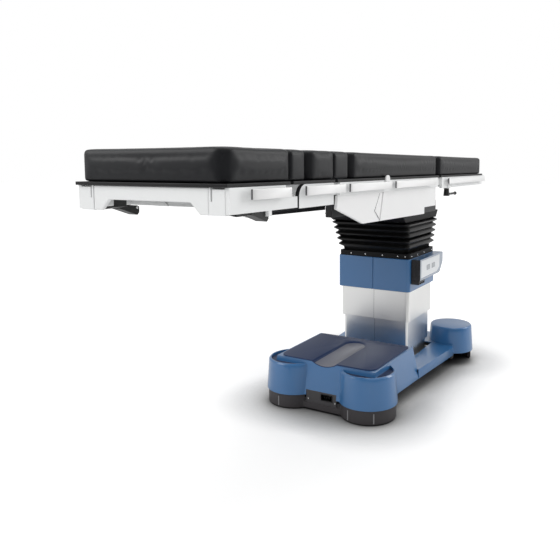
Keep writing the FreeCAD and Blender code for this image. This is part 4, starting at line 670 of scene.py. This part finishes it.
def addRing(bm, height, cut):
    share = (height - bellows["foot"]) / (bellows["head"] - bellows["foot"])
    near, far, half = (a + (b - a) * share - cut for a, b in zip(bellows["low"], bellows["high"]))
    corners = bmesh.ops.create_grid(bm, x_segments=1, y_segments=1, size=1.0)["verts"]
    bmesh.ops.scale(bm, vec=((near + far) / 2, half, 1), verts=corners)
    bmesh.ops.translate(bm, vec=(bellows["columnX"] + (far - near) / 2, 0, height), verts=corners)
    bmesh.ops.bevel(bm, geom=corners, offset=bellows["corner"], offset_type="OFFSET",
                    segments=bellows["cornerSegments"], profile=0.5, affect="VERTICES", material=-1)


def makeBellows(pieceName, levels):
    bm = bmesh.new()
    rings = []
    for height, cut in levels:
        edgesBefore, facesBefore = set(bm.edges), set(bm.faces)
        addRing(bm, height, cut)
        rings.append([edge for edge in bm.edges if edge not in edgesBefore])
        lids = [face for face in bm.faces if face not in facesBefore]
        bmesh.ops.delete(bm, geom=lids, context="FACES_ONLY")
    for lower, upper in zip(rings, rings[1:]):
        bmesh.ops.bridge_loops(bm, edges=lower + upper)
    bmesh.ops.recalc_face_normals(bm, faces=bm.faces)
    piece = link(pieceName, bm)
    piece.data.materials.append(finishes["bellowsRubber"])
    smoothShade(piece, bellows["smoothAngle"])
    thick = piece.modifiers.new("skin", "SOLIDIFY")
    thick.thickness, thick.offset = bellows["wall"], -1
    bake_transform(piece)
    return piece


allLevels = bellowsLevels()
lowCount = sum(height <= bellows["meet"] + bellows["slack"] for height, cut in allLevels)
lowerBellows = makeBellows("lowerBellows", allLevels[:lowCount])
upperBellows = makeBellows("upperBellows", allLevels[lowCount - 1:])
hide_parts("bellows")
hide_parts("bellows")
print("bellows made")


# studio: white floor that keeps the table's shadow, with painted shadow where ambient occlusion darkens its
# colour and glow near the table; white surroundings
studio = {"floorSize": 30.0, "floorColour": (0.80, 0.80, 0.80), "floorRough": 0.6, "lift": (0.30, 0.62),
          "reach": (1.1, 2.6), "shadeReach": 0.22, "shadePower": 2.4, "shadeSamples": 12,
          "worldLight": 0.62, "worldSheen": 0.66, "worldSeen": 1.0}
white = (1, 1, 1, 1)


def plainMaterial(name, colour, rough):
    material = bpy.data.materials.new(name)
    material.use_nodes = True
    shader = material.node_tree.nodes["Principled BSDF"]
    shader.inputs["Base Color"].default_value = (*colour, 1)
    shader.inputs["Roughness"].default_value = rough
    return material


def addFloor():
    bm = bmesh.new()
    bmesh.ops.create_grid(bm, x_segments=1, y_segments=1, size=studio["floorSize"])
    floor = link("studioFloor", bm)
    material = plainMaterial("studioFloor", studio["floorColour"], studio["floorRough"])
    tree = material.node_tree
    shader = tree.nodes["Principled BSDF"]
    shader.inputs["Emission Color"].default_value = white
    place = tree.nodes.new("ShaderNodeTexCoord")
    away = tree.nodes.new("ShaderNodeVectorMath")
    away.operation = "LENGTH"
    tree.links.new(place.outputs["Object"], away.inputs[0])
    rise = tree.nodes.new("ShaderNodeMapRange")
    rise.inputs["From Min"].default_value, rise.inputs["From Max"].default_value = studio["reach"]
    rise.inputs["To Min"].default_value, rise.inputs["To Max"].default_value = studio["lift"]
    tree.links.new(away.outputs["Value"], rise.inputs["Value"])
    path = tree.nodes.new("ShaderNodeLightPath")
    lift = mathNode(tree, "MULTIPLY", path.outputs["Is Camera Ray"], rise.outputs["Result"])
    # painted shadow: ambient occlusion darkens the floor's colour and its glow near the table
    nearby = tree.nodes.new("ShaderNodeAmbientOcclusion")
    nearby.samples = studio["shadeSamples"]
    nearby.inputs["Distance"].default_value = studio["shadeReach"]
    paintedShadowShare = mathNode(tree, "POWER", nearby.outputs["AO"], studio["shadePower"])
    tree.links.new(mathNode(tree, "MULTIPLY", lift, paintedShadowShare), shader.inputs["Emission Strength"])
    shade = tree.nodes.new("ShaderNodeVectorMath")
    shade.operation = "SCALE"
    shade.inputs[0].default_value = studio["floorColour"]
    tree.links.new(paintedShadowShare, shade.inputs["Scale"])
    tree.links.new(shade.outputs["Vector"], shader.inputs["Base Color"])
    floor.data.materials.append(material)


def addWorld():
    # glossy surfaces and the camera see another brightness than the light that falls on the table
    world = bpy.data.worlds.new("studioWorld")
    bpy.context.scene.world = world
    world.use_nodes = True
    tree = world.node_tree
    back = tree.nodes["Background"]
    back.inputs["Color"].default_value = white
    path = tree.nodes.new("ShaderNodeLightPath")
    last = studio["worldLight"]
    for ray, strength in (("Is Glossy Ray", studio["worldSheen"]),
                          ("Is Transmission Ray", studio["worldSeen"]),
                          ("Is Camera Ray", studio["worldSeen"])):
        mix = tree.nodes.new("ShaderNodeMix")
        tree.links.new(path.outputs[ray], mix.inputs["Factor"])
        if isinstance(last, float):
            mix.inputs["A"].default_value = last
        else:
            tree.links.new(last, mix.inputs["A"])
        mix.inputs["B"].default_value = strength
        last = mix.outputs["Result"]
    tree.links.new(last, back.inputs["Strength"])


# dark card behind the camera, seen only in glossy surfaces
darkCard = {"corners": ((-2.55, 0.74), (-2.95, -2.7), (1.6, -2.9)), "foot": 0.02, "height": 3.0,
            "colour": (0.02, 0.02, 0.02), "rough": 0.9}


def addDarkCard():
    bm = bmesh.new()
    line = [bm.verts.new((x, y, darkCard["foot"])) for x, y in darkCard["corners"]]
    edges = [bm.edges.new(pair) for pair in zip(line, line[1:])]
    made = bmesh.ops.extrude_edge_only(bm, edges=edges)["geom"]
    raised = [part for part in made if isinstance(part, bmesh.types.BMVert)]
    bmesh.ops.translate(bm, vec=(0, 0, darkCard["height"]), verts=raised)
    card = link("darkCard", bm)
    card.data.materials.append(plainMaterial("darkCard", darkCard["colour"], darkCard["rough"]))
    card.visible_camera = card.visible_diffuse = card.visible_shadow = False
    card.visible_transmission = False


# lamps; the front one leaves no mirror image
lamps = {
    "keyLamp": {"place": (-3.2, 2.6, 3.2), "aim": (0, 0, 0.6), "size": 2.6, "power": 66, "gloss": True},
    "sideLamp": {"place": (2.6, -3.4, 2.4), "aim": (0.2, 0, 0.5), "size": 2.4, "power": 72, "gloss": True},
    "frontLamp": {"place": (-3.6, -2.0, 1.7), "aim": (0, 0, 0.4), "size": 1.6, "power": 20, "gloss": False},
    "topLamp": {"place": (0.4, 0.3, 4.2), "aim": (0.2, 0, 0), "size": 3.0, "power": 48, "gloss": True},
}


def addLamp(name, lamp):
    data = bpy.data.lights.new(name, "AREA")
    data.size, data.energy = lamp["size"], lamp["power"]
    lampObject = bpy.data.objects.new(name, data)
    place = Vector(lamp["place"])
    turn = (Vector(lamp["aim"]) - place).to_track_quat("-Z", "Y").to_matrix().to_4x4()
    lampObject.matrix_world = Matrix.Translation(place) @ turn
    lampObject.visible_glossy = lamp["gloss"]
    bpy.context.scene.collection.objects.link(lampObject)


addFloor()
addWorld()
addDarkCard()
for name, lamp in lamps.items():
    addLamp(name, lamp)
bpy.context.scene.view_settings.view_transform = "Standard"
print("studio lit")
